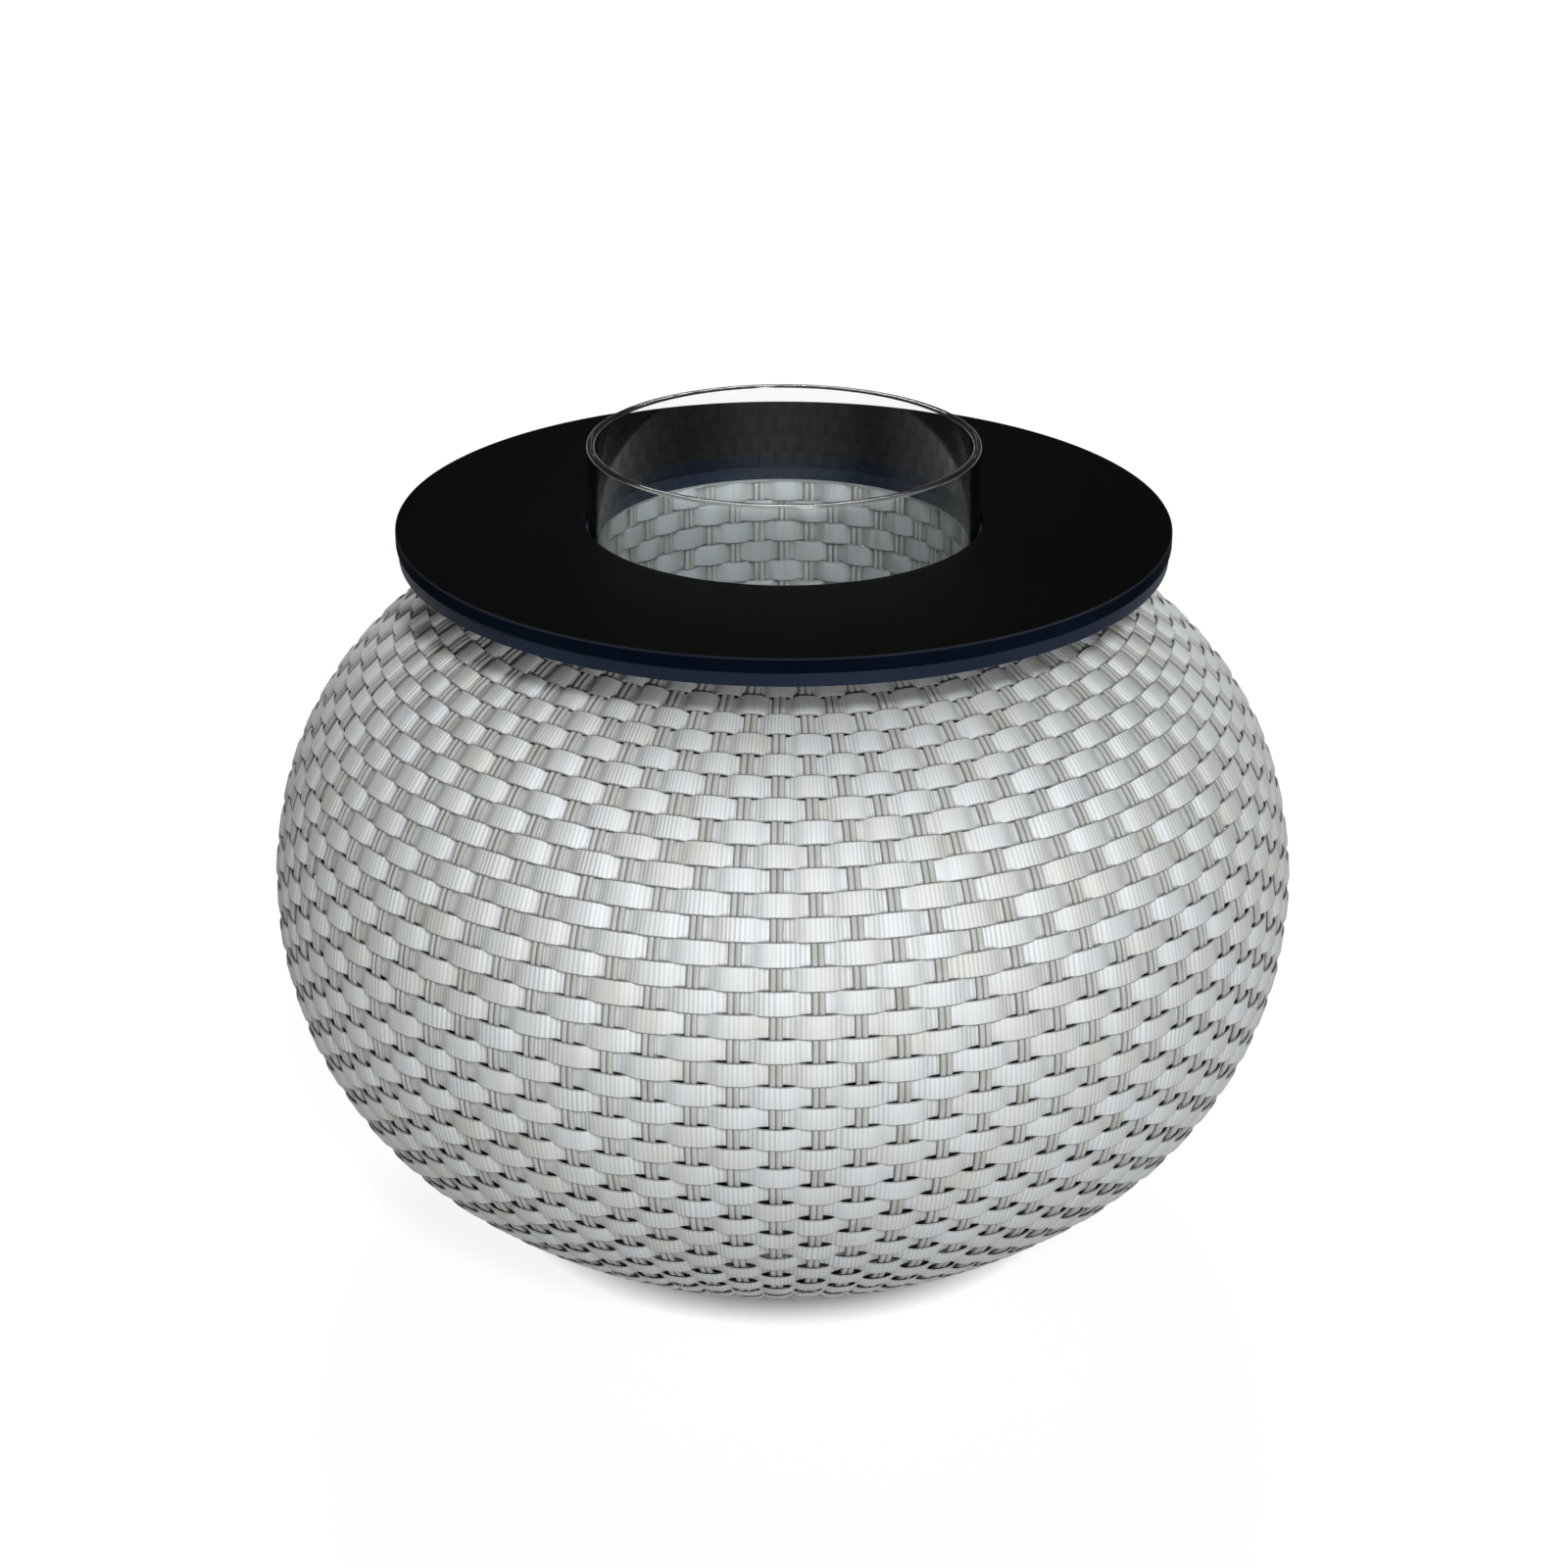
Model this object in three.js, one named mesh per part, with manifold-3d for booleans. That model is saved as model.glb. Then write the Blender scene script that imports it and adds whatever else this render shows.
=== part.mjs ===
// An ice bucket coffee table: a round woven body with a central well, a ring-shaped top that lifts off,
// and a glass bucket that stands in the well and lifts out through the top.
// Units are millimetres, +Z is up, and the origin is on the floor under the middle of the table.
import * as THREE from "three";
import { mergeVertices } from "three/addons/utils/BufferGeometryUtils.js";
import Module from "manifold-3d";

const wasm = await Module();
wasm.setup();

// Driving sizes of the whole table
const tableHeight = 470;
const bodyRadius = 326;
const widestHeight = 231;
const seatGap = 0.3;
const roundSegments = 48;
const smallSegments = 12;
const tubeSides = 8;
const rodSides = 6;
const cutOverrun = 1;

// Tabletop panel, with a hole that the bucket passes through
const tabletopRadius = 240;
const tabletopThickness = 9;
const tabletopEase = 1;
const bucketHoleRadius = 123.5;

// Flat-bar rings and spokes welded up under the panel
const underRingHeight = 8.2;
const underRingWidth = 26;
const outerRingInset = 1.5;
const innerRingInset = 0.5;
const spokeWidth = 25;
const spokeCount = 6;

// Pan-head screws through the spokes into blind holes in the panel
const screwHeadRadius = 4.5;
const screwHeadHeight = 3;
const screwShankRadius = 2.2;
const screwBite = 6;
const screwHoleClearance = 0.3;

// Locating pins under the inner ring, and the bushes that they drop into
const pinCount = 3;
const pinRadius = 4;
const pinReach = 14;
const pinClearance = 0.5;
const pinLeadIn = 1.5;
const bushFlangeRadius = 8;
const bushFlangeThickness = 1.7;
const bushSleeveWall = 1.5;
const topPadRadius = 8;

// Glass bucket
const bucketRadius = 121.5;
const bucketHeight = 200;
const bucketProud = 48;
const bucketWall = 5;
const bucketBase = 10;
const bucketHeelEase = 3;
const bucketFloorFillet = 6;
const bucketRimEase = 1.5;

// Tray, its drain holes and the pads that carry the bucket
const trayThickness = 4;
const trayClearance = 1.5;
const drainCentreRadius = 12;
const drainHoleRadius = 8;
const drainCircleRadius = 62;
const drainCount = 6;
const bucketPadRadius = 10;
const bucketPadThickness = 3;
const bucketPadCircle = 95;
const bucketPadCount = 4;

// Woven skins. The body's shell has the main relief of its weave, in which each row of strip stands out
// where it passes over an upright strand, and lies back where it passes under one.
const skinThickness = 4.5;
const strandCount = 84;
const strandTurn = (-0.6 / 180) * Math.PI;
const rowPitch = 13.82;
const firstRowDistance = 5.1;
const reliefDepth = 2;
const wellRadius = 127;
const crownWidth = 18;
const baseFlatWidth = 21;
const bodyClearance = 7;

// Welded frame inside the skins
const wellRingTube = 8;
const wellRingOffset = 1.5;
const baseRingTube = 8;
const baseRingOffset = 2;
const trayRingWidth = 14;
const trayRingHeight = 6;
const hoopRod = 4;
const postRadius = 6;
const postOffset = 0.5;
const postCount = 6;
const ribCount = 6;
const ribWidth = 14;
const ribThickness = 6;

// Glides under the base ring
const glideCount = 6;
const glideRadius = 14;
const glideEase = 1.5;
const glideStemRadius = 4;
const glideStemReach = 6;
const stemClearance = 0.3;

// Each point is a share of the way out from the crown or base edge to the widest radius,
// then a share of the way up or down from the widest height. Both lists start at the widest point.
const upperBulgeShares = [
  [0.985, 0.167],
  [0.918, 0.377],
  [0.796, 0.561],
  [0.623, 0.723],
  [0.413, 0.851],
  [0.196, 0.942],
];
const lowerBulgeShares = [
  [0.979, 0.185],
  [0.914, 0.364],
  [0.809, 0.526],
  [0.67, 0.666],
  [0.5, 0.785],
  [0.31, 0.888],
  [0.124, 0.966],
];

// Hoops are welded behind the ribs this many outline points above and below the widest one
const shoulderStepCount = 4;
const haunchStepCount = 5;

// Heights and radii that follow from the sizes above
const panelBottom = tableHeight - tabletopThickness;
const underRingTop = panelBottom - seatGap;
const underRingBottom = underRingTop - underRingHeight;
const crownHeight = underRingBottom - bushFlangeThickness - 2 * seatGap;
const wellOuterRadius = wellRadius + skinThickness;
const crownInnerRadius = wellOuterRadius + seatGap;
const crownOuterRadius = crownInnerRadius + crownWidth;
const wellRingRadius = wellOuterRadius + wellRingOffset + wellRingTube;
const wellRingHeight = crownHeight - skinThickness - seatGap - wellRingTube;
const postCircleRadius = wellOuterRadius + postOffset + postRadius;
const baseRingRadius = postCircleRadius + baseRingOffset;
const baseRingHeight = bodyClearance + skinThickness + seatGap + baseRingTube;
const bucketBottom = tableHeight + bucketProud - bucketHeight;
const bucketPadTop = bucketBottom - seatGap;
const trayTop = bucketPadTop - bucketPadThickness - seatGap;
const trayBottom = trayTop - trayThickness;
const trayRingTop = trayBottom - seatGap;
const trayRingOuter = postCircleRadius - postRadius - seatGap;
const innerRingInner = bucketHoleRadius + innerRingInset;
const innerRingOuter = innerRingInner + underRingWidth;
const outerRingOuter = tabletopRadius - outerRingInset;
const outerRingInner = outerRingOuter - underRingWidth;

// A round mesh has flat facets, whose middles lie this share of the radius from the axis
const facetShare = Math.cos(Math.PI / roundSegments);

const aluminium = new THREE.MeshStandardMaterial({ color: 0xb9bbbc, roughness: 0.45, metalness: 0.9 });
const navyCoat = new THREE.MeshStandardMaterial({ color: 0x161d2b, roughness: 0.45, metalness: 0.3 });
const blackLaminate = new THREE.MeshStandardMaterial({ color: 0x0b0b0b, roughness: 0.5, metalness: 0 });
const wovenStrip = new THREE.MeshStandardMaterial({ color: 0xd3d4d2, roughness: 0.45, metalness: 0 });
const clearGlass = new THREE.MeshStandardMaterial({
  color: 0xe6efec,
  roughness: 0.03,
  metalness: 0,
  transparent: true,
  opacity: 0.3,
});
const blackRubber = new THREE.MeshStandardMaterial({ color: 0x17181a, roughness: 0.8, metalness: 0 });
const stainless = new THREE.MeshStandardMaterial({ color: 0xc4c6c8, roughness: 0.3, metalness: 1 });

// A solid of revolution about Z. The outline is a list of [radius, height] points.
function turned(outline, segments, closed) {
  const points = outline.map(([radius, height]) => new THREE.Vector2(radius, height));
  if (closed) {
    points.push(points[0].clone());
  }
  if (THREE.ShapeUtils.area(points) < 0) {
    points.reverse();
  }
  return new THREE.LatheGeometry(points, segments).rotateX(Math.PI / 2);
}

// A closed ring of rectangular section, with an optional eased edge all round.
function flatRing(innerRadius, outerRadius, bottom, top, ease) {
  const outline = ease
    ? [
        [innerRadius + ease, bottom],
        [outerRadius - ease, bottom],
        [outerRadius, bottom + ease],
        [outerRadius, top - ease],
        [outerRadius - ease, top],
        [innerRadius + ease, top],
        [innerRadius, top - ease],
        [innerRadius, bottom + ease],
      ]
    : [
        [innerRadius, bottom],
        [outerRadius, bottom],
        [outerRadius, top],
        [innerRadius, top],
      ];
  return turned(outline, roundSegments, true);
}

// A tube or rod bent to a ring, with a section of flat sides that lie at the tube's radius.
function tubeRing(ringRadius, height, tube, sides) {
  const corner = tube / Math.cos(Math.PI / sides);
  const outline = [];
  for (let side = 0; side < sides; side += 1) {
    const angle = ((side + 1 / 2) / sides) * 2 * Math.PI;
    outline.push([ringRadius + corner * Math.cos(angle), height + corner * Math.sin(angle)]);
  }
  return turned(outline, roundSegments, true);
}

// An upright round bar between two heights, standing on the axis.
function roundBar(radius, bottom, top) {
  return new THREE.CylinderGeometry(radius, radius, top - bottom, smallSegments)
    .rotateX(Math.PI / 2)
    .translate(0, 0, (bottom + top) / 2);
}

// A geometry as a solid that can be joined or cut.
function solidOf(geometry) {
  const bare = new THREE.BufferGeometry();
  bare.setAttribute("position", geometry.getAttribute("position").clone());
  bare.setIndex(geometry.index);
  const merged = mergeVertices(bare);
  return new wasm.Manifold(
    new wasm.Mesh({
      numProp: 3,
      vertProperties: merged.getAttribute("position").array,
      triVerts: new Uint32Array(merged.index.array),
    }),
  );
}

// A geometry with every one of the cutters taken out of it.
function cutBy(geometry, cutters) {
  const left = cutters.reduce((solid, cutter) => solid.subtract(solidOf(cutter)), solidOf(geometry));
  const mesh = left.getMesh();
  const cut = new THREE.BufferGeometry();
  cut.setAttribute("position", new THREE.BufferAttribute(mesh.vertProperties, mesh.numProp));
  cut.setIndex(new THREE.BufferAttribute(mesh.triVerts, 1));
  cut.computeVertexNormals();
  return cut;
}

// Points of a ring round the table. The first one is turned from the front by an angle.
function ringOf(count, turn, placeOf) {
  return Array.from({ length: count }, (_, index) => {
    const angle = (index / count) * 2 * Math.PI + turn;
    const [radius, height] = placeOf(index);
    return new THREE.Vector3(radius * Math.sin(angle), -radius * Math.cos(angle), height);
  });
}

// Triangles between two rings, which may have different numbers of points. Where both rings step on
// together, the fold across the four points is the one that stands out.
function facesBetween(first, second) {
  const faces = [];
  const point = (ring, index) => ring[index % ring.length];
  const outness = (one, other) => Math.hypot(one.x, one.y) + Math.hypot(other.x, other.y);
  let [place, otherPlace] = [0, 0];
  while (place < first.length || otherPlace < second.length) {
    const here = point(first, place);
    const below = point(second, otherPlace);
    const beside = point(first, place + 1);
    const belowBeside = point(second, otherPlace + 1);
    const lead = (place + 1) * second.length - (otherPlace + 1) * first.length;
    const foldsUp = lead === 0 ? outness(below, beside) > outness(here, belowBeside) : lead < 0;
    if (foldsUp) {
      faces.push([here, below, beside]);
      place += 1;
    } else {
      faces.push([here, below, belowBeside]);
      otherPlace += 1;
    }
  }
  return faces;
}

// A closed shell through rings that run over its outside and back over its inside.
function shellThrough(rings) {
  const points = rings.flat();
  const numbers = new Map(points.map((point, index) => [point, index]));
  const faces = rings.flatMap((ring, index) => facesBetween(ring, rings[(index + 1) % rings.length]));
  const shell = new THREE.BufferGeometry().setFromPoints(points);
  shell.setIndex(faces.flat().map((point) => numbers.get(point)));
  return shell;
}

// Angles in radians of evenly spaced places round the table, the first one turned by a share of a step.
function placesRound(count, turnShare = 0) {
  return Array.from({ length: count }, (_, index) => ((index + turnShare) / count) * 2 * Math.PI);
}

// The same cutter at each of several angles on a circle.
function cuttersRound(cutter, circleRadius, angles) {
  return angles.map((angle) =>
    cutter.clone().translate(circleRadius * Math.cos(angle), circleRadius * Math.sin(angle), 0),
  );
}

// An open outline moved to its left by a distance, with its corners mitred.
function movedIn(outline, distance) {
  return outline.map((point, index) => {
    const before = outline[Math.max(index - 1, 0)];
    const after = outline[Math.min(index + 1, outline.length - 1)];
    const leftOf = ([fromRadius, fromHeight], [toRadius, toHeight]) =>
      new THREE.Vector2(fromHeight - toHeight, toRadius - fromRadius).normalize();
    const first = index > 0 ? leftOf(before, point) : leftOf(point, after);
    const second = index < outline.length - 1 ? leftOf(point, after) : first;
    const bisector = first.clone().add(second).normalize();
    const reach = distance / bisector.dot(first);
    return [point[0] + bisector.x * reach, point[1] + bisector.y * reach];
  });
}

// The stretch of an outline that lies outside a radius at both of its ends.
function outsideRadius(outline, radius) {
  const kept = [];
  outline.forEach((point, index) => {
    const next = outline[index + 1];
    if (point[0] > radius) {
      kept.push(point);
    }
    if (next && point[0] > radius !== next[0] > radius) {
      const share = (radius - point[0]) / (next[0] - point[0]);
      kept.push([radius, point[1] + share * (next[1] - point[1])]);
    }
  });
  return kept;
}

const table = new THREE.Group();
const liftingTop = new THREE.Group();
const base = new THREE.Group();
table.add(liftingTop, base);

function addPiece(group, name, geometry, material) {
  const mesh = new THREE.Mesh(geometry, material);
  mesh.name = name;
  group.add(mesh);
  return mesh;
}

// Copies of one geometry round the table, named with a number each.
function addRound(group, name, geometry, material, circleRadius, angles) {
  angles.forEach((angle, index) => {
    const mesh = addPiece(group, `${name}_${index + 1}`, geometry, material);
    mesh.position.set(circleRadius * Math.cos(angle), circleRadius * Math.sin(angle), 0);
    mesh.rotation.z = angle;
  });
}

// Lifting top: panel, two rings, spokes, screws and locating pins
const spokeAngles = placesRound(spokeCount);
const pinAngles = placesRound(pinCount, 1 / 4);
const spokeInnerEnd = innerRingOuter + seatGap;
const spokeOuterReach = outerRingInner * facetShare - seatGap;
const spokeOuterEnd = Math.sqrt(spokeOuterReach ** 2 - (spokeWidth / 2) ** 2);
const spokeMiddle = (spokeInnerEnd + spokeOuterEnd) / 2;
const screwHole = screwShankRadius + screwHoleClearance;
const screwTop = panelBottom + screwBite;
const screwHeadTop = underRingBottom - seatGap;

const panelBlank = flatRing(bucketHoleRadius, tabletopRadius, panelBottom, tableHeight, tabletopEase);
const panelHole = roundBar(screwHole, panelBottom - cutOverrun, screwTop + seatGap);
addPiece(
  liftingTop,
  "tabletop",
  cutBy(panelBlank, cuttersRound(panelHole, spokeMiddle, spokeAngles)),
  blackLaminate,
);
addPiece(
  liftingTop,
  "top_outer_ring",
  flatRing(outerRingInner, outerRingOuter, underRingBottom, underRingTop, 0),
  navyCoat,
);
addPiece(
  liftingTop,
  "top_inner_ring",
  flatRing(innerRingInner, innerRingOuter, underRingBottom, underRingTop, 0),
  navyCoat,
);

const spokeBlank = new THREE.BoxGeometry(spokeOuterEnd - spokeInnerEnd, spokeWidth, underRingHeight);
spokeBlank.translate(0, 0, underRingBottom + underRingHeight / 2);
const spokeHole = roundBar(screwHole, underRingBottom - cutOverrun, underRingTop + cutOverrun);
addRound(liftingTop, "top_spoke", cutBy(spokeBlank, [spokeHole]), navyCoat, spokeMiddle, spokeAngles);

const screw = turned(
  [
    [0, screwHeadTop - screwHeadHeight],
    [screwHeadRadius, screwHeadTop - screwHeadHeight],
    [screwHeadRadius, screwHeadTop],
    [screwShankRadius, screwHeadTop],
    [screwShankRadius, screwTop],
    [0, screwTop],
  ],
  smallSegments,
  false,
);
addRound(liftingTop, "tabletop_screw", screw, stainless, spokeMiddle, spokeAngles);

const pinTop = underRingBottom - seatGap;
const pinBottom = pinTop - pinReach;
const locatingPin = turned(
  [
    [0, pinBottom],
    [pinRadius - pinLeadIn, pinBottom],
    [pinRadius, pinBottom + pinLeadIn],
    [pinRadius, pinTop],
    [0, pinTop],
  ],
  smallSegments,
  false,
);
addRound(liftingTop, "locating_pin", locatingPin, stainless, wellRingRadius, pinAngles);

// Glass bucket, one turned piece
const bucketTop = bucketBottom + bucketHeight;
const bucketFloor = bucketBottom + bucketBase;
const bucketInner = bucketRadius - bucketWall;
const bucketOutline = [
  [0, bucketBottom],
  [bucketRadius - bucketHeelEase, bucketBottom],
  [bucketRadius, bucketBottom + bucketHeelEase],
  [bucketRadius, bucketTop - bucketRimEase],
  [bucketRadius - bucketRimEase, bucketTop],
  [bucketInner + bucketRimEase, bucketTop],
  [bucketInner, bucketTop - bucketRimEase],
  [bucketInner, bucketFloor + bucketFloorFillet],
  [bucketInner - bucketFloorFillet, bucketFloor],
  [0, bucketFloor],
];
addPiece(table, "glass_bucket", turned(bucketOutline, roundSegments, false), clearGlass);

// Outer face of the woven body, from the well's mouth over the crown and round to the hem in the base
const bulgeAt = (edgeRadius, edgeHeight) => ([outShare, heightShare]) => [
  edgeRadius + outShare * (bodyRadius - edgeRadius),
  widestHeight + heightShare * (edgeHeight - widestHeight),
];
const hemTube = baseRingTube + seatGap + skinThickness;
const hemCorner = hemTube * Math.tan(Math.PI / tubeSides);
const baseEdgeRadius = baseRingRadius - hemCorner + baseFlatWidth;
const upperBulge = upperBulgeShares.map(bulgeAt(crownOuterRadius, crownHeight));
const lowerBulge = lowerBulgeShares.map(bulgeAt(baseEdgeRadius, bodyClearance));
const skinOutline = [
  [crownInnerRadius, crownHeight],
  [crownOuterRadius, crownHeight],
  ...upperBulge.toReversed(),
  [bodyRadius, widestHeight],
  ...lowerBulge,
  [baseEdgeRadius, bodyClearance],
  [baseRingRadius - hemCorner, bodyClearance],
  [baseRingRadius - hemTube, baseRingHeight - hemCorner],
  [baseRingRadius - hemTube, baseRingHeight + hemCorner],
];
const intoBody = (distance) => movedIn(skinOutline, -distance);
const widestPoint = 2 + upperBulge.length;

// Rings of the weave's relief down the bulge, with a point at each crossing of a row and a strand
const bulgeStart = widestPoint - upperBulge.length - 1;
const bulgeEnd = widestPoint + lowerBulge.length + 1;
const bulge = new THREE.SplineCurve(
  skinOutline.slice(bulgeStart, bulgeEnd + 1).map(([radius, height]) => new THREE.Vector2(radius, height)),
);
const rowCount = Math.floor((bulge.getLength() - firstRowDistance) / rowPitch - 1 / 2) + 1;
const wovenRings = Array.from({ length: rowCount }, (_, row) => {
  const share = (firstRowDistance + row * rowPitch) / bulge.getLength();
  const middle = bulge.getPointAt(share);
  const along = bulge.getTangentAt(share);
  return ringOf(strandCount, strandTurn, (strand) => {
    const depth = (row + strand) % 2 ? 0 : reliefDepth;
    return [middle.x + along.y * depth, middle.y - along.x * depth];
  });
});
const plainRings = (outline) => outline.map((place) => ringOf(roundSegments, 0, () => place));
const bodyShell = shellThrough([
  ...plainRings(skinOutline.slice(0, bulgeStart + 1)),
  ...wovenRings,
  ...plainRings(skinOutline.slice(bulgeEnd)),
  ...plainRings(intoBody(skinThickness).toReversed()),
]);

// Woven body, with holes for the bushes in its crown and for the glide stems in its base
const bushAngles = pinAngles;
const topPadAngles = placesRound(pinCount, 3 / 4);
const glideAngles = placesRound(glideCount, 1 / 4);
const bushBore = pinRadius + pinClearance;
const bushSleeve = bushBore + bushSleeveWall;
const bushHole = roundBar(bushSleeve + seatGap, crownHeight - skinThickness - cutOverrun, crownHeight + cutOverrun);
const stemTop = baseRingHeight - baseRingTube + glideStemReach;
const stemHole = roundBar(
  glideStemRadius + stemClearance,
  bodyClearance - cutOverrun,
  bodyClearance + skinThickness + cutOverrun,
);
addPiece(
  base,
  "woven_body",
  cutBy(bodyShell, [
    ...cuttersRound(bushHole, wellRingRadius, bushAngles),
    ...cuttersRound(stemHole, baseRingRadius, glideAngles),
  ]),
  wovenStrip,
);

// Woven lining of the well, standing on the tray ring
addPiece(
  base,
  "woven_well",
  flatRing(wellRadius, wellOuterRadius, trayRingTop + seatGap, underRingBottom - seatGap, 0),
  wovenStrip,
);

// Bushes and pads on the crown that carry the top
const bush = turned(
  [
    [bushBore, crownHeight - skinThickness],
    [bushSleeve, crownHeight - skinThickness],
    [bushSleeve, crownHeight + seatGap],
    [bushFlangeRadius, crownHeight + seatGap],
    [bushFlangeRadius, crownHeight + seatGap + bushFlangeThickness],
    [bushBore, crownHeight + seatGap + bushFlangeThickness],
  ],
  smallSegments,
  true,
);
addRound(base, "pin_bush", bush, blackRubber, wellRingRadius, bushAngles);
const topPad = roundBar(topPadRadius, crownHeight + seatGap, crownHeight + seatGap + bushFlangeThickness);
addRound(base, "top_pad", topPad, blackRubber, wellRingRadius, topPadAngles);

// Rings of the well frame and of the base
const pinHole = roundBar(bushBore, pinBottom - seatGap, wellRingHeight + wellRingTube + cutOverrun);
addPiece(
  base,
  "well_top_ring",
  cutBy(
    tubeRing(wellRingRadius, wellRingHeight, wellRingTube, tubeSides),
    cuttersRound(pinHole, wellRingRadius, bushAngles),
  ),
  aluminium,
);
const ringStemHole = roundBar(
  glideStemRadius + stemClearance,
  baseRingHeight - baseRingTube - cutOverrun,
  stemTop + seatGap,
);
addPiece(
  base,
  "base_ring",
  cutBy(
    tubeRing(baseRingRadius, baseRingHeight, baseRingTube, tubeSides),
    cuttersRound(ringStemHole, baseRingRadius, glideAngles),
  ),
  aluminium,
);
addPiece(
  base,
  "tray_ring",
  flatRing(trayRingOuter - trayRingWidth, trayRingOuter, trayRingTop - trayRingHeight, trayRingTop, 0),
  aluminium,
);

// Upright posts from the base ring to the well's top ring
const postBottom = baseRingHeight + baseRingTube + seatGap;
const postTop = wellRingHeight - wellRingTube - seatGap;
const post = roundBar(postRadius, postBottom, postTop);
addRound(base, "inner_post", post, aluminium, postCircleRadius, placesRound(postCount));

// Ribs: flat bars bent to the body's outline, from the well's top ring to the base ring
const ribOuterDepth = skinThickness + seatGap + (ribWidth / 2) * Math.tan(Math.PI / roundSegments);
const ribEndRadius = Math.max(wellRingRadius + wellRingTube, baseRingRadius + baseRingTube) + seatGap;
const ribOuter = outsideRadius(intoBody(ribOuterDepth), ribEndRadius);
const ribInner = outsideRadius(intoBody(ribOuterDepth + ribThickness), ribEndRadius);
const ribShape = new THREE.Shape(
  [...ribOuter, ...ribInner.toReversed()].map(([radius, height]) => new THREE.Vector2(radius, height)),
);
const rib = new THREE.ExtrudeGeometry(ribShape, { depth: ribWidth, bevelEnabled: false })
  .translate(0, 0, -ribWidth / 2)
  .rotateX(Math.PI / 2);
addRound(base, "rib", rib, aluminium, 0, placesRound(ribCount));

// Hoops welded behind the ribs
const hoopReach = hoopRod / Math.cos(Math.PI / rodSides);
const hoopDepth = ribOuterDepth + ribThickness + seatGap + hoopReach;
const hoopLine = intoBody(hoopDepth);
const hoopPlaces = {
  shoulder_hoop: widestPoint - shoulderStepCount,
  equator_hoop: widestPoint,
  haunch_hoop: widestPoint + haunchStepCount,
};
Object.entries(hoopPlaces).forEach(([name, index]) => {
  const [radius, height] = hoopLine[index];
  addPiece(base, name, tubeRing(radius, height, hoopRod, rodSides), aluminium);
});

// Tray with drain holes, and the pads that the bucket stands on
const circlePoints = (x, y, radius, segments) =>
  placesRound(segments).map(
    (angle) => new THREE.Vector2(x + radius * Math.cos(angle), y + radius * Math.sin(angle)),
  );
const trayShape = new THREE.Shape(
  circlePoints(0, 0, wellRadius * facetShare - trayClearance, roundSegments),
);
trayShape.holes.push(new THREE.Path(circlePoints(0, 0, drainCentreRadius, smallSegments)));
placesRound(drainCount).forEach((angle) => {
  const x = drainCircleRadius * Math.cos(angle);
  const y = drainCircleRadius * Math.sin(angle);
  trayShape.holes.push(new THREE.Path(circlePoints(x, y, drainHoleRadius, smallSegments)));
});
const tray = new THREE.ExtrudeGeometry(trayShape, { depth: trayThickness, bevelEnabled: false });
tray.translate(0, 0, trayBottom);
addPiece(base, "bucket_tray", tray, aluminium);
const bucketPad = roundBar(bucketPadRadius, trayTop + seatGap, bucketPadTop);
addRound(base, "bucket_pad", bucketPad, blackRubber, bucketPadCircle, placesRound(bucketPadCount, 1 / 2));

// Glides with stems that push up through the weave into the base ring
const glideTop = bodyClearance - seatGap;
const glide = turned(
  [
    [0, 0],
    [glideRadius - glideEase, 0],
    [glideRadius, glideEase],
    [glideRadius, glideTop],
    [glideStemRadius, glideTop],
    [glideStemRadius, stemTop],
    [0, stemTop],
  ],
  smallSegments,
  false,
);
addRound(base, "glide", glide, blackRubber, baseRingRadius, glideAngles);

export default table;
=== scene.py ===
"""The looks of an ice bucket coffee table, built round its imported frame.

The table is a round body woven from flat strips, with a lift-off ring-shaped top and a glass bucket
that stands in a woven well. Lengths are in metres, +Z is up and the front of the table faces -Y.
"""

from __future__ import annotations

import logging
import math
from collections.abc import Sequence
from dataclasses import dataclass
from enum import Enum
from itertools import pairwise

import bpy
import numpy as np
from mathutils import Euler, Matrix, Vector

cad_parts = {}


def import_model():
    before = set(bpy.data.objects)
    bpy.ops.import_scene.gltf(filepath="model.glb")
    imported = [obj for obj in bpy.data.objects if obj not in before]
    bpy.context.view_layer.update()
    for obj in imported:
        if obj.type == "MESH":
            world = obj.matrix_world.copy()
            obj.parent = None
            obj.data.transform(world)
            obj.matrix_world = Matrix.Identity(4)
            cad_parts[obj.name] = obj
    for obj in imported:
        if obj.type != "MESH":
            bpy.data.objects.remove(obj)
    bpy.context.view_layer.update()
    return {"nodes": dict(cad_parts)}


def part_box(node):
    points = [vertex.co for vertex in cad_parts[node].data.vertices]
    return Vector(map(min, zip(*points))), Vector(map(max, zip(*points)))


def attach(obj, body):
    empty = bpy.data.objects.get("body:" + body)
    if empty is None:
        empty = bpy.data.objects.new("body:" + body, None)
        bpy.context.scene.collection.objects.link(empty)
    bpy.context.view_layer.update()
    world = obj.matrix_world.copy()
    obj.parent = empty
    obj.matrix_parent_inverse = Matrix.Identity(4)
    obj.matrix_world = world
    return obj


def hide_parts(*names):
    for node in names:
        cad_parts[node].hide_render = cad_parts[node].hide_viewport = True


log = logging.getLogger("ice_bucket_table")

Point = tuple[float, float]
Angles = tuple[float, float, float]
Colour = tuple[float, float, float]
Shades = tuple[tuple[float, Colour], ...]
# A noise pattern's scale, detail and seed.
Noise = tuple[float, float, float]

MERGE_DISTANCE = 1e-6
# A rounding takes at most this share of the sides beside it.
SIDE_SHARE = 0.45
# A point this share of a rounding's reach before it keeps the side's shading flat.
HOLD_SHARE = 0.1
# Faces that meet at a larger angle show an edge.
SHARP_ANGLE = math.radians(38)
# The CAD's gap between faces that touch.
SEAT_GAP = 0.0003


class Run(Enum):
    """The way a strand of the weave runs."""

    ROUND = "round the body"
    UPRIGHT = "along the outline"


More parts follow.
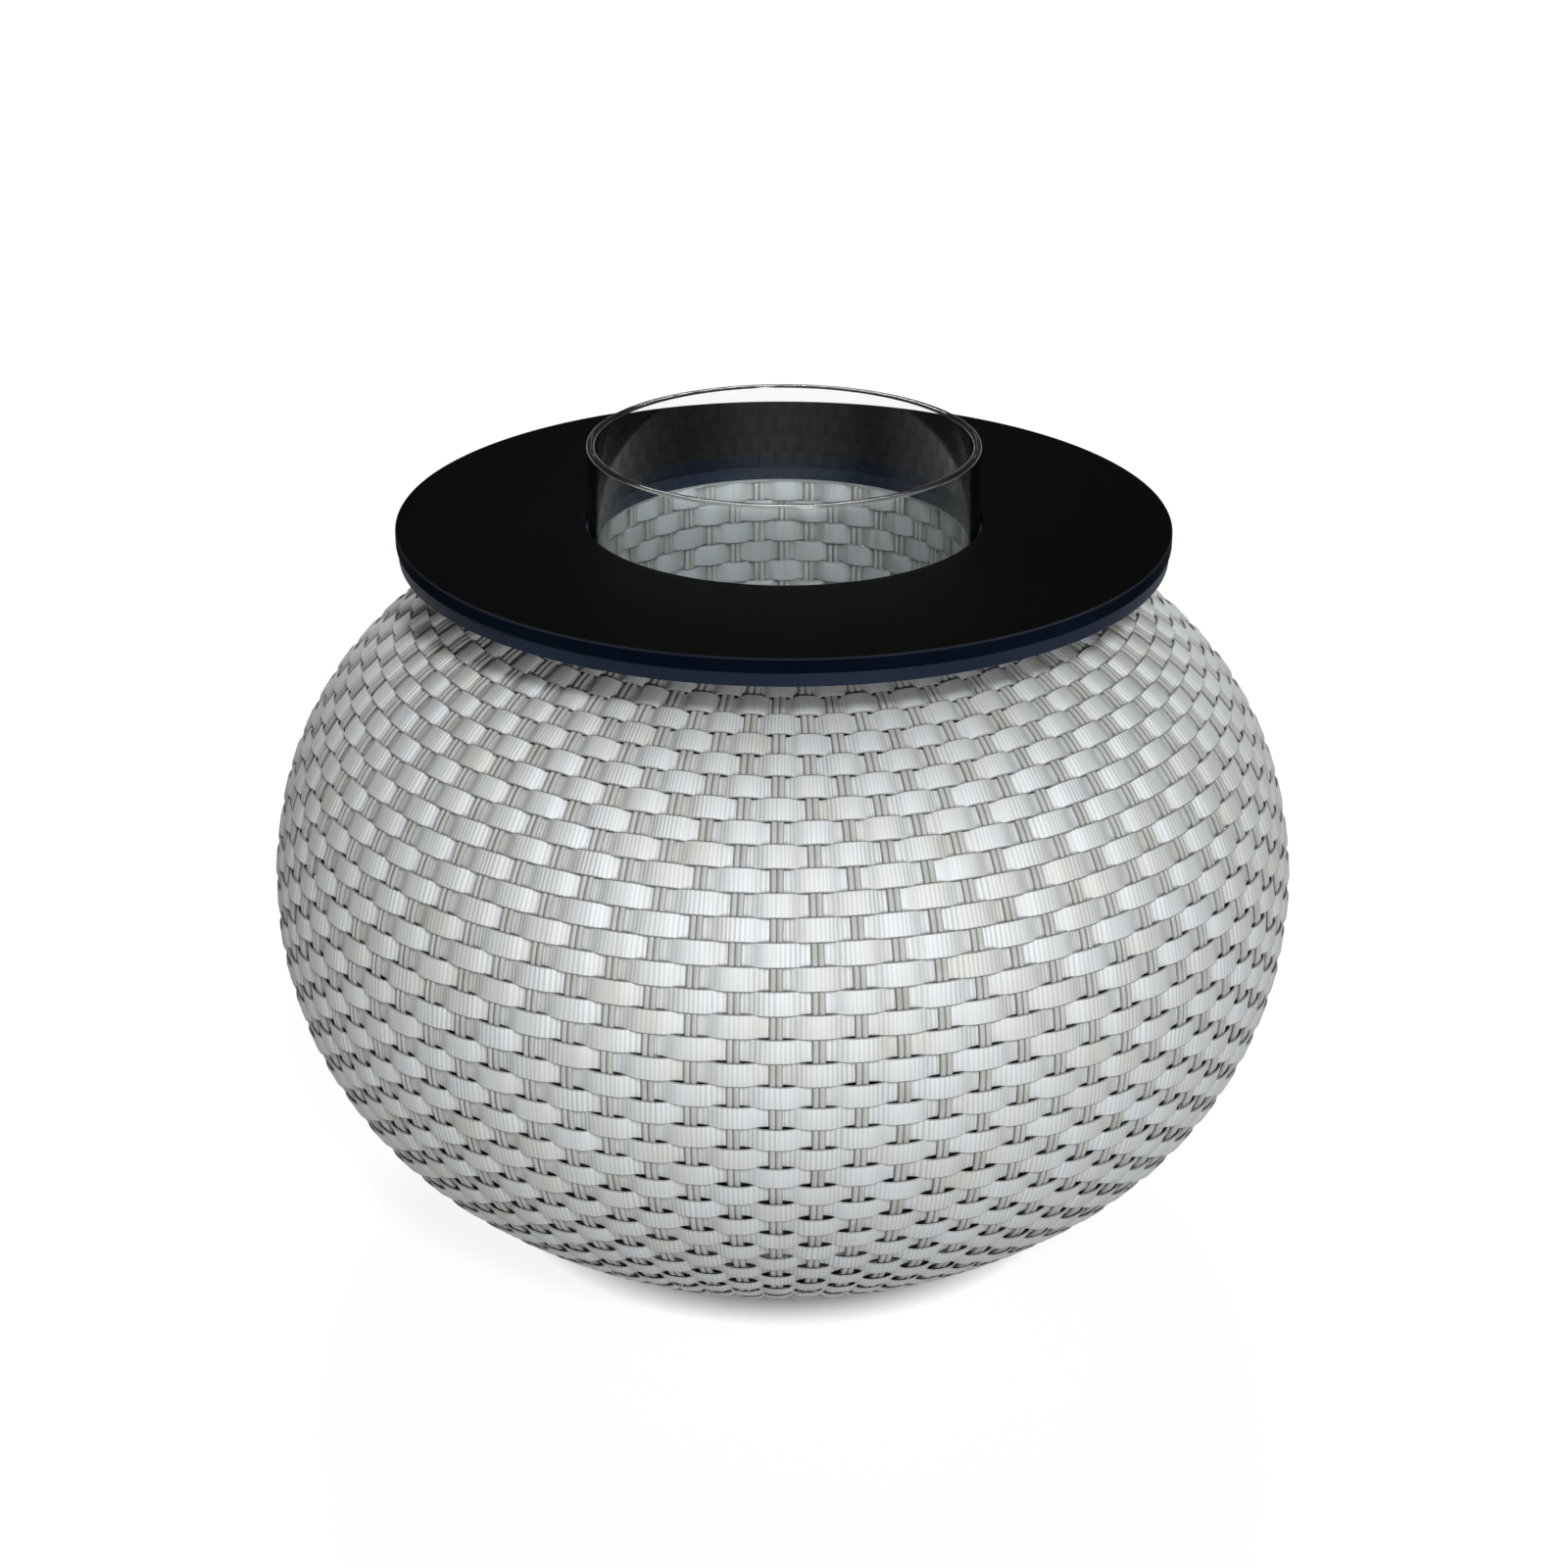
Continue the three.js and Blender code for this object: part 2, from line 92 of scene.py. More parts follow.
class Body(Enum):
    """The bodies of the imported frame."""

    BASE = "base"
    TOP = "top"
    BUCKET = "bucket"


class Slot(Enum):
    """The material slots."""

    NAVY = "navy_coat"
    LAMINATE = "black_laminate"
    WEAVE = "woven_strip"
    GLASS = "clear_glass"
    ALUMINIUM = "aluminium"
    RUBBER = "black_rubber"
    STEEL = "stainless"


class Graph:
    """A node tree, with short calls that add nodes to it."""

    def __init__(self, tree: bpy.types.NodeTree) -> None:
        """Takes the node tree that nodes are added to."""
        self.tree = tree

    def feed(self, socket: bpy.types.NodeSocket, value: object) -> None:
        """Links a field or socket into an input, or sets the input's own value."""
        if isinstance(value, Field):
            value = value.socket
        if isinstance(value, bpy.types.NodeSocket):
            self.tree.links.new(value, socket)
        else:
            socket.default_value = value

    def add(
        self,
        kind: str,
        inputs: dict[str | int, object] | None = None,
        settings: dict[str, object] | None = None,
        output: str | int = 0,
    ) -> Field:
        """Adds a node.

        Args:
            kind: Blender's name for the type of node.
            inputs: values or fields, by the input's name or number.
            settings: the node's own options, which are set first.
            output: name or number of the output that is wanted.

        Returns:
            The wanted output.
        """
        node = self.tree.nodes.new(kind)
        for name, value in (settings or {}).items():
            setattr(node, name, value)
        for key, value in (inputs or {}).items():
            self.feed(self.pick(node.inputs, key), value)
        return Field(self, self.pick(node.outputs, output))

    @staticmethod
    def pick(sockets: Sequence[bpy.types.NodeSocket], key: str | int) -> bpy.types.NodeSocket:
        """Returns the socket in use that has this name or number."""
        if isinstance(key, int):
            return sockets[key]
        return next(socket for socket in sockets if socket.name == key and socket.enabled)

    def vector(self, x: object, y: object, z: object) -> Field:
        """Returns a vector made of three numbers."""
        return self.add("ShaderNodeCombineXYZ", {"X": x, "Y": y, "Z": z})

    def parts(self, vector: Field) -> tuple[Field, Field, Field]:
        """Returns the three numbers of a vector."""
        split = self.add("ShaderNodeSeparateXYZ", {0: vector}).socket.node
        return tuple(Field(self, socket) for socket in split.outputs)

    def noise(self, vector: object, scale: float, detail: float = 2.0, seed: object = 0.0) -> Field:
        """Returns smooth noise about 0.5, a different one for each seed."""
        inputs = {"Vector": vector, "W": seed, "Scale": scale, "Detail": detail}
        return self.add("ShaderNodeTexNoise", inputs, {"noise_dimensions": "4D"})


@dataclass(frozen=True)
class Field:
    """A number or vector in a node tree that sums and products can use."""

    graph: Graph
    socket: bpy.types.NodeSocket

    def math(self, operation: str, *others: object) -> Field:
        """Returns the result of one of Blender's math operations on this number and others."""
        inputs = dict(enumerate((self, *others)))
        return self.graph.add("ShaderNodeMath", inputs, {"operation": operation})

    def __add__(self, other: object) -> Field:
        """Returns the sum."""
        return self.math("ADD", other)

    __radd__ = __add__

    def __sub__(self, other: object) -> Field:
        """Returns the difference."""
        return self.math("SUBTRACT", other)

    def __rsub__(self, other: float) -> Field:
        """Returns the difference from a plain number."""
        return self.math("MULTIPLY_ADD", -1.0, other)

    def __mul__(self, other: object) -> Field:
        """Returns the product."""
        return self.math("MULTIPLY", other)

    __rmul__ = __mul__

    def __truediv__(self, other: object) -> Field:
        """Returns the quotient."""
        return self.math("DIVIDE", other)

    def __rtruediv__(self, other: float) -> Field:
        """Returns a plain number over this one."""
        return self.graph.add("ShaderNodeMath", {0: other, 1: self}, {"operation": "DIVIDE"})

    def sin(self) -> Field:
        """Returns the sine."""
        return self.math("SINE")

    def cos(self) -> Field:
        """Returns the cosine."""
        return self.math("COSINE")

    def sqrt(self) -> Field:
        """Returns the square root."""
        return self.math("SQRT")

    def floor(self) -> Field:
        """Returns the whole number below."""
        return self.math("FLOOR")


class Rule(Graph):
    """A geometry node tree with named inputs, which ends in Realize Instances and Set Material."""

    def __init__(self, name: str) -> None:
        """Starts an empty tree that takes a guide mesh and a finish."""
        group = bpy.data.node_groups.new(name, "GeometryNodeTree")
        super().__init__(group)
        self.interface = group.interface
        self.interface.new_socket("Geometry", in_out="OUTPUT", socket_type="NodeSocketGeometry")
        self.source = group.nodes.new("NodeGroupInput")
        self.guide = self.asked("Guide", "NodeSocketGeometry")
        self.finish = self.asked("Finish", "NodeSocketMaterial")

    def asked(self, name: str, kind: str) -> Field:
        """Adds a named input and returns its field."""
        self.interface.new_socket(name, in_out="INPUT", socket_type=kind)
        return Field(self, self.source.outputs[name])

    def number(self, name: str) -> Field:
        """Adds a named input that is a number."""
        return self.asked(name, "NodeSocketFloat")

    def count(self, name: str) -> Field:
        """Adds a named input that is a whole number."""
        return self.asked(name, "NodeSocketInt")

    def joined(self, *parts: Field) -> Field:
        """Returns several geometries as one."""
        node = self.tree.nodes.new("GeometryNodeJoinGeometry")
        for part in parts:
            self.tree.links.new(part.socket, node.inputs[0])
        return Field(self, node.outputs[0])

    def points_round(self, count: Field, radius: Field, turn: object) -> tuple[Field, Field]:
        """Returns points on a circle round the table's axis, and the angle of each."""
        line = self.add("GeometryNodeMeshLine", {"Count": count, "Offset": (0.0, 0.0, 0.0)})
        angle = self.add("GeometryNodeInputIndex") * (math.tau / count) + turn
        place = self.vector(radius * angle.cos(), radius * angle.sin(), 0.0)
        return self.add("GeometryNodeSetPosition", {"Geometry": line, "Position": place}), angle

    def close(self, geometry: Field) -> None:
        """Ends the tree: real geometry in its finish, and nothing after it."""
        real = self.add("GeometryNodeRealizeInstances", {"Geometry": geometry})
        dressed = self.add("GeometryNodeSetMaterial", {"Geometry": real, "Material": self.finish})
        end = self.tree.nodes.new("NodeGroupOutput")
        self.feed(end.inputs[0], dressed)

    def grow(self, name: str, guide: bpy.types.Mesh, values: dict[str, object]) -> bpy.types.Object:
        """Runs the rule on a guide mesh.

        Args:
            name: the new piece's name.
            guide: the mesh that the rule starts from.
            values: the named inputs' values.

        Returns:
            The result as a plain mesh object.
        """
        carrier = linked(f"{name}_guide", guide)
        modifier = carrier.modifiers.new("Rule", "NODES")
        modifier.node_group = self.tree
        for item in self.interface.items_tree:
            if item.in_out == "INPUT" and item.name in values:
                modifier[item.identifier] = values[item.name]
        evaluated = carrier.evaluated_get(bpy.context.evaluated_depsgraph_get())
        mesh = bpy.data.meshes.new_from_object(evaluated)
        mesh.name = name
        # The guide has no finish of its own, which leaves an empty slot before the rule's.
        mesh.materials.pop(index=0)
        carrier.modifiers.remove(modifier)
        bpy.data.objects.remove(carrier)
        return linked(name, mesh)


class WeaveRule(Rule):
    """Strands of one woven skin, swinging over and under the strands that cross them."""

    SIZES = (
        "Row pitch",
        "Row origin",
        "Upright length",
        "Width",
        "Thickness",
        "Swing",
        "Roundness",
        "Depth",
        "Turn",
        "Wander",
        "Unevenness",
        "Seed",
    )
    # The radius at which the strips' finish measures its length.
    STRIP_RADIUS = 0.3
    # The drift of a strip: how fast it changes round the body, and from row to row.
    STRIP_DRIFT_SCALE = 2.6
    STRIP_DRIFT_STEP = 9.0
    # The drift of an upright: how fast it changes with height, and from one to the next.
    UPRIGHT_DRIFT_SCALE = 2.0
    UPRIGHT_DRIFT_RATE = 4.0
    UPRIGHT_DRIFT_STEP = 7.3
    # The uneven swing: how fast it changes along a strand, and from one to the next.
    SWING_RATE = 30.0
    SWING_STEP = 1.7
    SWING_SEED = 5.0
    STRAND_SEED = 3

    def __init__(self, run: Run, section: Sequence[Point]) -> None:
        """Builds the tree.

        Args:
            run: whether the strands run round the body or along its outline.
            section: a strand's section, anticlockwise, as shares of its width and thickness.
        """
        super().__init__(f"weave_{run.name.lower()}")
        self.section = section
        self.build(run)

    def build(self, run: Run) -> None:
        """Adds the nodes that place each point of each strand."""
        uprights = self.count("Uprights")
        copies = self.count("Copies")
        first_copy = self.count("First copy")
        steps = self.count("Steps")
        sizes = [self.number(name) for name in self.SIZES]
        pitch, origin, length, width, thickness, swing = sizes[:6]
        roundness, depth, turn, wander, unevenness, seed = sizes[6:]

        sides = len(self.section)
        along_points = steps + 1.0
        grid_size = {"Size X": 1.0, "Size Y": 1.0, "Vertices X": along_points, "Vertices Y": sides + 1}
        grid = self.add("GeometryNodeMeshGrid", grid_size)
        line = self.add("GeometryNodeMeshLine", {"Count": copies, "Offset": (0.0, 0.0, 0.0)})
        spread = self.add("GeometryNodeInstanceOnPoints", {"Points": line, "Instance": grid})
        sheet = self.add("GeometryNodeRealizeInstances", {"Geometry": spread})

        index = self.add("GeometryNodeInputIndex")
        copy = (index / (along_points * (sides + 1.0))).floor() + first_copy
        x, y, _ = self.parts(self.add("GeometryNodeInputPosition"))
        reach = x + 0.5
        corner = ((y + 0.5) * float(sides)).math("ROUND").math("FLOORED_MODULO", float(sides))
        across = self.table(corner, [share for share, _ in self.section]) * width
        height = self.table(corner, [share for _, share in self.section]) * thickness

        if run is Run.ROUND:
            crossing = reach * uprights
            angle = crossing * (math.tau / uprights) + turn
            middle = origin + (copy + 0.5) * pitch
            around = self.vector(angle.cos(), angle.sin(), middle * self.STRIP_DRIFT_STEP)
            drift = self.noise(around, self.STRIP_DRIFT_SCALE, 1.0, seed)
            station = middle + across + (drift - 0.5) * wander
            wave = ((crossing + copy) * math.pi).cos() * -1.0
            sideways = 0.0
            along = reach * math.tau * self.STRIP_RADIUS
        else:
            closed = 1.0 / steps
            travel = reach.math("MAXIMUM", closed).math("MINIMUM", 1.0 - closed)
            station = travel * length
            row = (station - origin) / pitch - 0.5
            upwards = self.vector(station * self.UPRIGHT_DRIFT_RATE, copy * self.UPRIGHT_DRIFT_STEP, 0.0)
            drift = self.noise(upwards, self.UPRIGHT_DRIFT_SCALE, 1.0, seed)
            angle = copy * (math.tau / uprights) + turn
            wave = ((row + copy) * math.pi).cos()
            inside = reach.math("GREATER_THAN", closed * 0.5) * reach.math("LESS_THAN", 1.0 - closed * 0.5)
            across = across * inside
            height = height * inside
            sideways = across + (drift - 0.5) * wander
            along = station
        flat = wave * (1.0 + roundness * roundness).sqrt()
        flat = flat / (wave * wave + roundness * roundness).sqrt()
        patch = self.vector(copy * self.SWING_STEP, along * self.SWING_RATE, 0.0)
        lively = 1.0 + (self.noise(patch, 1.0, 0.0, seed + self.SWING_SEED) - 0.5) * unevenness
        lift = height + flat * swing * lively - depth

        guide = self.add("GeometryNodeMeshToCurve", {"Mesh": self.guide})
        sampler = self.add(
            "GeometryNodeSampleCurve", {"Curves": guide, "Length": station}, {"mode": "LENGTH"}, "Position"
        )
        guide_x, _, guide_z = self.parts(sampler)
        tangent_x, _, tangent_z = self.parts(Field(self, self.pick(sampler.socket.node.outputs, "Tangent")))
        radius = guide_x - tangent_z * lift
        rise = guide_z + tangent_x * lift
        bearing = angle - math.pi / 2
        if run is Run.ROUND:
            place = self.vector(radius * bearing.cos(), radius * bearing.sin(), rise)
        else:
            place = self.vector(
                radius * bearing.cos() - sideways * bearing.sin(),
                radius * bearing.sin() + sideways * bearing.cos(),
                rise,
            )

        strip = self.store(sheet, "strip", "FLOAT2", "CORNER", self.vector(along, across / width, 0.0))
        choice = {"ID": copy, "Seed": self.STRAND_SEED}
        number = self.add("FunctionNodeRandomValue", choice, {"data_type": "FLOAT"}, 1)
        strip = self.store(strip, "strand", "FLOAT", "POINT", number)
        strip = self.store(strip, "face", "FLOAT", "POINT", self.table(corner, [h for _, h in self.section]))
        moved = self.add("GeometryNodeSetPosition", {"Geometry": strip, "Position": place})
        merged = self.add("GeometryNodeMergeByDistance", {"Geometry": moved, "Distance": MERGE_DISTANCE})
        if run is Run.UPRIGHT:
            merged = self.add("GeometryNodeFlipFaces", {"Mesh": merged})
        self.close(self.add("GeometryNodeSetShadeSmooth", {"Geometry": merged}))

    def table(self, number: Field, values: Sequence[float]) -> Field:
        """Returns the value at a whole number's place in a list."""
        node = self.tree.nodes.new("GeometryNodeIndexSwitch")
        node.data_type = "FLOAT"
        while len(node.index_switch_items) < len(values):
            node.index_switch_items.new()
        self.feed(node.inputs["Index"], number)
        for place, value in enumerate(values):
            node.inputs[place + 1].default_value = value
        return Field(self, node.outputs[0])

    def store(self, geometry: Field, name: str, kind: str, domain: str, value: Field) -> Field:
        """Stores a named attribute that the finishes read."""
        inputs = {"Geometry": geometry, "Name": name, "Value": value}
        settings = {"data_type": kind, "domain": domain}
        return self.add("GeometryNodeStoreNamedAttribute", inputs, settings)


class RoundRule(Rule):
    """Copies of one small piece on a circle round the table's axis, each turned to face outwards."""

    def __init__(self) -> None:
        """Builds the tree."""
        super().__init__("copies_round_the_axis")
        points, angle = self.points_round(
            self.count("Count"), self.number("Circle radius"), self.number("Turn")
        )
        turns = self.vector(0.0, 0.0, angle)
        inputs = {"Points": points, "Instance": self.guide, "Rotation": turns}
        self.close(self.add("GeometryNodeInstanceOnPoints", inputs))


class TrayRule(Rule):
    """A round plate with a hole in its middle and a circle of holes round it."""

    EDGE_SIDES = 160
    MIDDLE_SIDES = 48
    HOLE_SIDES = 32

    def __init__(self) -> None:
        """Builds the tree."""
        super().__init__("plate_with_drain_holes")
        thickness = self.number("Thickness")
        bottom = self.number("Bottom")
        edge = self.circle("Plate radius", self.EDGE_SIDES)
        middle = self.circle("Middle hole radius", self.MIDDLE_SIDES)
        hole = self.circle("Hole radius", self.HOLE_SIDES)
        points, _ = self.points_round(self.count("Holes"), self.number("Hole circle radius"), 0.0)
        holes = self.add("GeometryNodeInstanceOnPoints", {"Points": points, "Instance": hole})
        outlines = self.joined(edge, middle, self.add("GeometryNodeRealizeInstances", {"Geometry": holes}))
        plate = self.add("GeometryNodeFillCurve", {"Curve": outlines})
        lower = self.add("GeometryNodeFlipFaces", {"Mesh": plate})
        extrusion = {
            "Mesh": plate,
            "Offset": self.vector(0.0, 0.0, 1.0),
            "Offset Scale": thickness,
            "Individual": False,
        }
        raised = self.add("GeometryNodeExtrudeMesh", extrusion, {"mode": "FACES"}, "Mesh")
        faces = {"Geometry": self.joined(raised, lower), "Distance": MERGE_DISTANCE}
        whole = self.add("GeometryNodeMergeByDistance", faces)
        lifted = {"Geometry": whole, "Translation": self.vector(0.0, 0.0, bottom)}
        self.close(self.add("GeometryNodeTransform", lifted))

    def circle(self, name: str, sides: int) -> Field:
        """Returns a round curve, whose radius is a named input."""
        inputs = {"Resolution": sides, "Radius": self.number(name)}
        return self.add("GeometryNodeCurvePrimitiveCircle", inputs, None, "Curve")


class Finish(Graph):
    """A surface finish: a shader built of nodes, on Object coordinates or a strip's own ones."""

    def __init__(self, name: str, constants: dict[str, object]) -> None:
        """Starts a material whose shader has these plain values."""
        self.material = bpy.data.materials.new(name)
        self.material.use_nodes = True
        super().__init__(self.material.node_tree)
        self.shader = self.tree.nodes["Principled BSDF"]
        self.surface = self.tree.nodes["Material Output"].inputs["Surface"]
        for key, value in constants.items():
            self.shader.inputs[key].default_value = value

    def place(self) -> Field:
        """Returns the point on the surface, in the table's own frame."""
        return self.add("ShaderNodeTexCoord", None, None, "Object")

    def attribute(self, name: str, output: str) -> Field:
        """Returns one of a piece's own attributes."""
        return self.add("ShaderNodeAttribute", None, {"attribute_name": name}, output)

    def strand(self) -> tuple[Field, Field, Field]:
        """Returns the place along and across a strand of the weave, and the strand's own number."""
        along, across, _ = self.parts(self.attribute("strip", "Vector"))
        return along, across, self.attribute("strand", "Fac")

    def ramp(self, value: Field, stops: Shades) -> Field:
        """Returns a colour that runs through the stops as the value goes from 0 to 1."""
        node = self.tree.nodes.new("ShaderNodeValToRGB")
        elements = node.color_ramp.elements
        while len(elements) < len(stops):
            elements.new(0.5)
        for element, (position, colour) in zip(elements, stops, strict=True):
            element.position = position
            element.color = (*colour, 1.0)
        self.feed(node.inputs[0], value)
        return Field(self, node.outputs[0])

    def blend(self, share: object, first: object, second: object, mode: str = "MIX") -> Field:
        """Returns a mix of two colours."""
        node = self.tree.nodes.new("ShaderNodeMix")
        node.data_type = "RGBA"
        node.blend_type = mode
        self.feed(node.inputs[0], share)
        for socket, value in ((node.inputs[6], first), (node.inputs[7], second)):
            self.feed(socket, (*value, 1.0) if isinstance(value, tuple) else value)
        return Field(self, node.outputs[2])

    def spread(self, value: Field, low: float, high: float) -> Field:
        """Returns a number from low to high as the value goes from 0 to 1."""
        return value * (high - low) + low

    def colour(self, value: Field) -> None:
        """Sets the base colour."""
        self.feed(self.shader.inputs["Base Color"], value)

    def roughness(self, value: Field) -> None:
        """Sets the roughness."""
        self.feed(self.shader.inputs["Roughness"], value)

    def relief(self, height: Field, distance: float, strength: float = 1.0) -> None:
        """Sets the fine relief of the surface."""
        inputs = {"Height": height, "Distance": distance, "Strength": strength}
        self.feed(self.shader.inputs["Normal"], self.add("ShaderNodeBump", inputs))


@dataclass(frozen=True)
class StripFinish:
    """Ribbed synthetic strip, silvery white with cream and grey stretches.

    The strips' own length runs along the ribs' row, and their width goes from -0.5 to 0.5.
    """

    name: str
    shades: Shades
    silver_share: float = 0.32
    dullness: tuple[float, float] = (0.6, 0.74)
    tone_noise: Noise = (26.0, 1.5, 0.0)
    rib_pitch: float = 0.0027
    rib_drift: float = 0.004
    rib_drift_noise: Noise = (70.0, 1.0, 3.0)
    rib_crest: float = 0.55
    rib_softness: float = 0.6
    rib_depth: float = 0.00012
    # Rib valleys painted darker and crests lighter: painted shade and painted highlight.
    rib_painted_shade: float = 0.17
    wear_noise: Noise = (46.0, 1.0, 7.0)
    wear_range: tuple[float, float] = (-0.9, 2.1)
    wear_least: float = 0.08
    streak_rate: float = 900.0
    streak_shade: float = 0.18
    streak_depth: float = 0.35
    # The strip's inner side is painted darker: painted shade.
    back_start: float = -0.2
    back_painted_shade: float = 0.35
    # The strip's narrow edges are painted darker: painted shade.
    brim_start: float = 0.43
    brim_fade: float = 0.035
    brim_painted_shade: float = 0.5

    def make(self) -> bpy.types.Material:
        """Returns the material."""
        finish = Finish(self.name, {"IOR": 1.46, "Specular IOR Level": 0.4, "Metallic": self.silver_share})
        along, across, strand = finish.strand()
        lane = finish.vector(along, across * 0.002, strand * 40.0)
        tone = finish.ramp(finish.noise(lane, *self.tone_noise), self.shades)
        drift = (finish.noise(lane, *self.rib_drift_noise) - 0.5) * self.rib_drift
        rib = ((along + drift) * (math.tau / self.rib_pitch)).sin()
        crest = rib.math("SMOOTH_MIN", self.rib_crest, self.rib_softness)
        fibre = finish.vector(along * self.streak_rate, across * 0.6, strand * 90.0)
        streak = finish.noise(fibre, 1.0, 2.0)
        # Wear makes the ribs shallower in places, and their painted shade fainter with them.
        worn = finish.spread(finish.noise(lane, *self.wear_noise), *self.wear_range)
        crest = crest * worn.math("MAXIMUM", self.wear_least).math("MINIMUM", 1.0)
        # The ribs' valleys are painted darker and their crests lighter, as painted shade and highlight; the
        # streaks are random tone.
        shade = 1.0 + crest * self.rib_painted_shade + (streak - 0.5) * self.streak_shade
        # Painted shade on the strip's inner side.
        behind = finish.attribute("face", "Fac").math("LESS_THAN", self.back_start)
        shade = shade * (1.0 - behind * (1.0 - self.back_painted_shade))
        # Painted shade on the strip's narrow edges.
        brim = ((across.math("ABSOLUTE") - self.brim_start) / self.brim_fade).math("MAXIMUM", 0.0)
        shade = shade * (1.0 - brim.math("MINIMUM", 1.0) * (1.0 - self.brim_painted_shade))
        tint = finish.add("ShaderNodeCombineColor", {0: shade, 1: shade, 2: shade})
        finish.colour(finish.blend(1.0, tone, tint, "MULTIPLY"))
        finish.roughness(finish.spread(streak, *self.dullness))
        finish.relief(crest + streak * self.streak_depth, self.rib_depth)
        return finish.material


@dataclass(frozen=True)
class UprightFinish:
    """Beige-grey strand of two lobes that stands between the strips."""

    name: str
    shades: Shades
    dullness: tuple[float, float] = (0.3, 0.48)
    tone_noise: Noise = (34.0, 3.0, 0.0)
    grain_noise: Noise = (6.0, 3.0, 0.0)
    grain_depth: float = 0.00012
    # The groove and the sides are painted towards the shadow colour: painted shade.
    groove_share: float = 0.08
    groove_painted_shade: float = 0.8
    edge_share: float = 0.14
    edge_painted_shade: float = 0.5
    shadow: Colour = (0.09, 0.09, 0.08)

    def make(self) -> bpy.types.Material:
        """Returns the material."""
        finish = Finish(self.name, {"IOR": 1.46, "Specular IOR Level": 0.4})
        along, across, strand = finish.strand()
        lane = finish.vector(along, across * 0.004, strand * 40.0)
        tone = finish.ramp(finish.noise(lane, *self.tone_noise), self.shades)
        aside = across.math("ABSOLUTE")
        # Painted shade in the middle groove and at both sides of the strand.
        groove = (1.0 - aside / self.groove_share).math("MAXIMUM", 0.0)
        edge = ((aside - 0.5) / self.edge_share + 1.0).math("MAXIMUM", 0.0)
        dark = (groove * 1.5).math("MINIMUM", self.groove_painted_shade).math("MAXIMUM", edge * self.edge_painted_shade)
        finish.colour(finish.blend(dark, tone, self.shadow))
        grain = finish.noise(finish.vector(along * 30.0, across * 6.0, strand * 50.0), *self.grain_noise)
        finish.roughness(finish.spread(grain, *self.dullness))
        finish.relief(grain, self.grain_depth)
        return finish.material


@dataclass(frozen=True)
class LaminateFinish:
    """Matte black laminate face with a navy edge at the rim and at the hole."""

    rim_radius: float
    hole_radius: float
    edge_band: float
    arris_height: float
    arris_width: float = 0.0009
    # A thin lighter line on the eased top edge of the rim: painted highlight.
    arris_painted_highlight: Colour = (0.034, 0.038, 0.05)
    # The hole's navy edge shows at this share only, darker than the rim's: painted shade.
    hole_edge_painted_shade: float = 0.4
    gloss: float = 0.001
    dullness: tuple[float, float] = (0.36, 0.52)
    speck_noise: Noise = (900.0, 2.0, 0.0)
    speck_dullness: float = 0.1
    speck_depth: float = 0.00003
    smear_noise: Noise = (9.0, 4.0, 3.0)
    face_shades: Shades = ((0.3, (0.0016, 0.0016, 0.0018)), (0.75, (0.0028, 0.0027, 0.0026)))
    edge_shades: Shades = ((0.3, (0.0018, 0.004, 0.0095)), (0.75, (0.0048, 0.009, 0.018)))

    def make(self) -> bpy.types.Material:
        """Returns the material."""
        finish = Finish("black_laminate_face", {"IOR": 1.45, "Specular IOR Level": self.gloss})
        place = finish.place()
        x, y, z = finish.parts(place)
        radius = (x * x + y * y).sqrt()
        rim = radius.math("GREATER_THAN", self.rim_radius - self.edge_band)
        hole = radius.math("LESS_THAN", self.hole_radius + self.edge_band)
        speck = finish.noise(place, *self.speck_noise)
        smear = finish.noise(place, *self.smear_noise)
        face = finish.ramp(smear, self.face_shades)
        edge = finish.ramp(smear, self.edge_shades)
        # Painted shade on the hole's edge band.
        banded = finish.blend(rim + hole * self.hole_edge_painted_shade, face, edge)
        # Painted highlight along the rim's eased top edge.
        outermost = radius.math("GREATER_THAN", self.rim_radius - self.arris_width)
        arris = outermost * z.math("GREATER_THAN", self.arris_height)
        finish.colour(finish.blend(arris * finish.spread(smear, 0.2, 1.0), banded, self.arris_painted_highlight))
        finish.roughness(finish.spread(smear, *self.dullness) + (speck - 0.5) * self.speck_dullness)
        finish.relief(speck, self.speck_depth)
        return finish.material


@dataclass(frozen=True)
class PlainFinish:
    """A coat, a metal or a rubber: broad stains in its colour, fine grain in its relief."""

    name: str
    constants: dict[str, float]
    shades: Shades
    stain_noise: Noise
    grain_noise: Noise
    dullness: tuple[float, float]
    dull_by_grain: bool = False
    grain_depth: float = 0.00004

    def make(self) -> bpy.types.Material:
        """Returns the material."""
        finish = Finish(self.name, self.constants)
        place = finish.place()
        stain = finish.noise(place, *self.stain_noise)
        grain = finish.noise(place, *self.grain_noise)
        finish.colour(finish.ramp(stain, self.shades))
        finish.roughness(finish.spread(grain if self.dull_by_grain else stain, *self.dullness))
        finish.relief(grain, self.grain_depth)
        return finish.material


def coat(name: str, shades: Shades) -> bpy.types.Material:
    """Returns satin powder coat with the fine orange-peel of one."""
    constants = {"IOR": 1.5, "Specular IOR Level": 0.06}
    return PlainFinish(name, constants, shades, (14.0, 4.0, 3.0), (700.0, 2.0, 0.0), (0.34, 0.5)).make()


def metal(name: str, shades: Shades, grain_scale: float) -> bpy.types.Material:
    """Returns bare metal, brushed or bent, with faint stains."""
    grain = (grain_scale, 3.0, 0.0)
    stain = (18.0, 5.0, 2.0)
    return PlainFinish(name, {"Metallic": 1.0}, shades, stain, grain, (0.28, 0.46), True, 0.00003).make()


def rubber(name: str) -> bpy.types.Material:
    """Returns black moulded rubber with a dusty bloom."""
    shades = ((0.35, (0.012, 0.012, 0.013)), (0.75, (0.035, 0.035, 0.036)))
    return PlainFinish(name, {"IOR": 1.48}, shades, (60.0, 5.0, 0.0), (1500.0, 2.0, 0.0), (0.6, 0.85)).make()


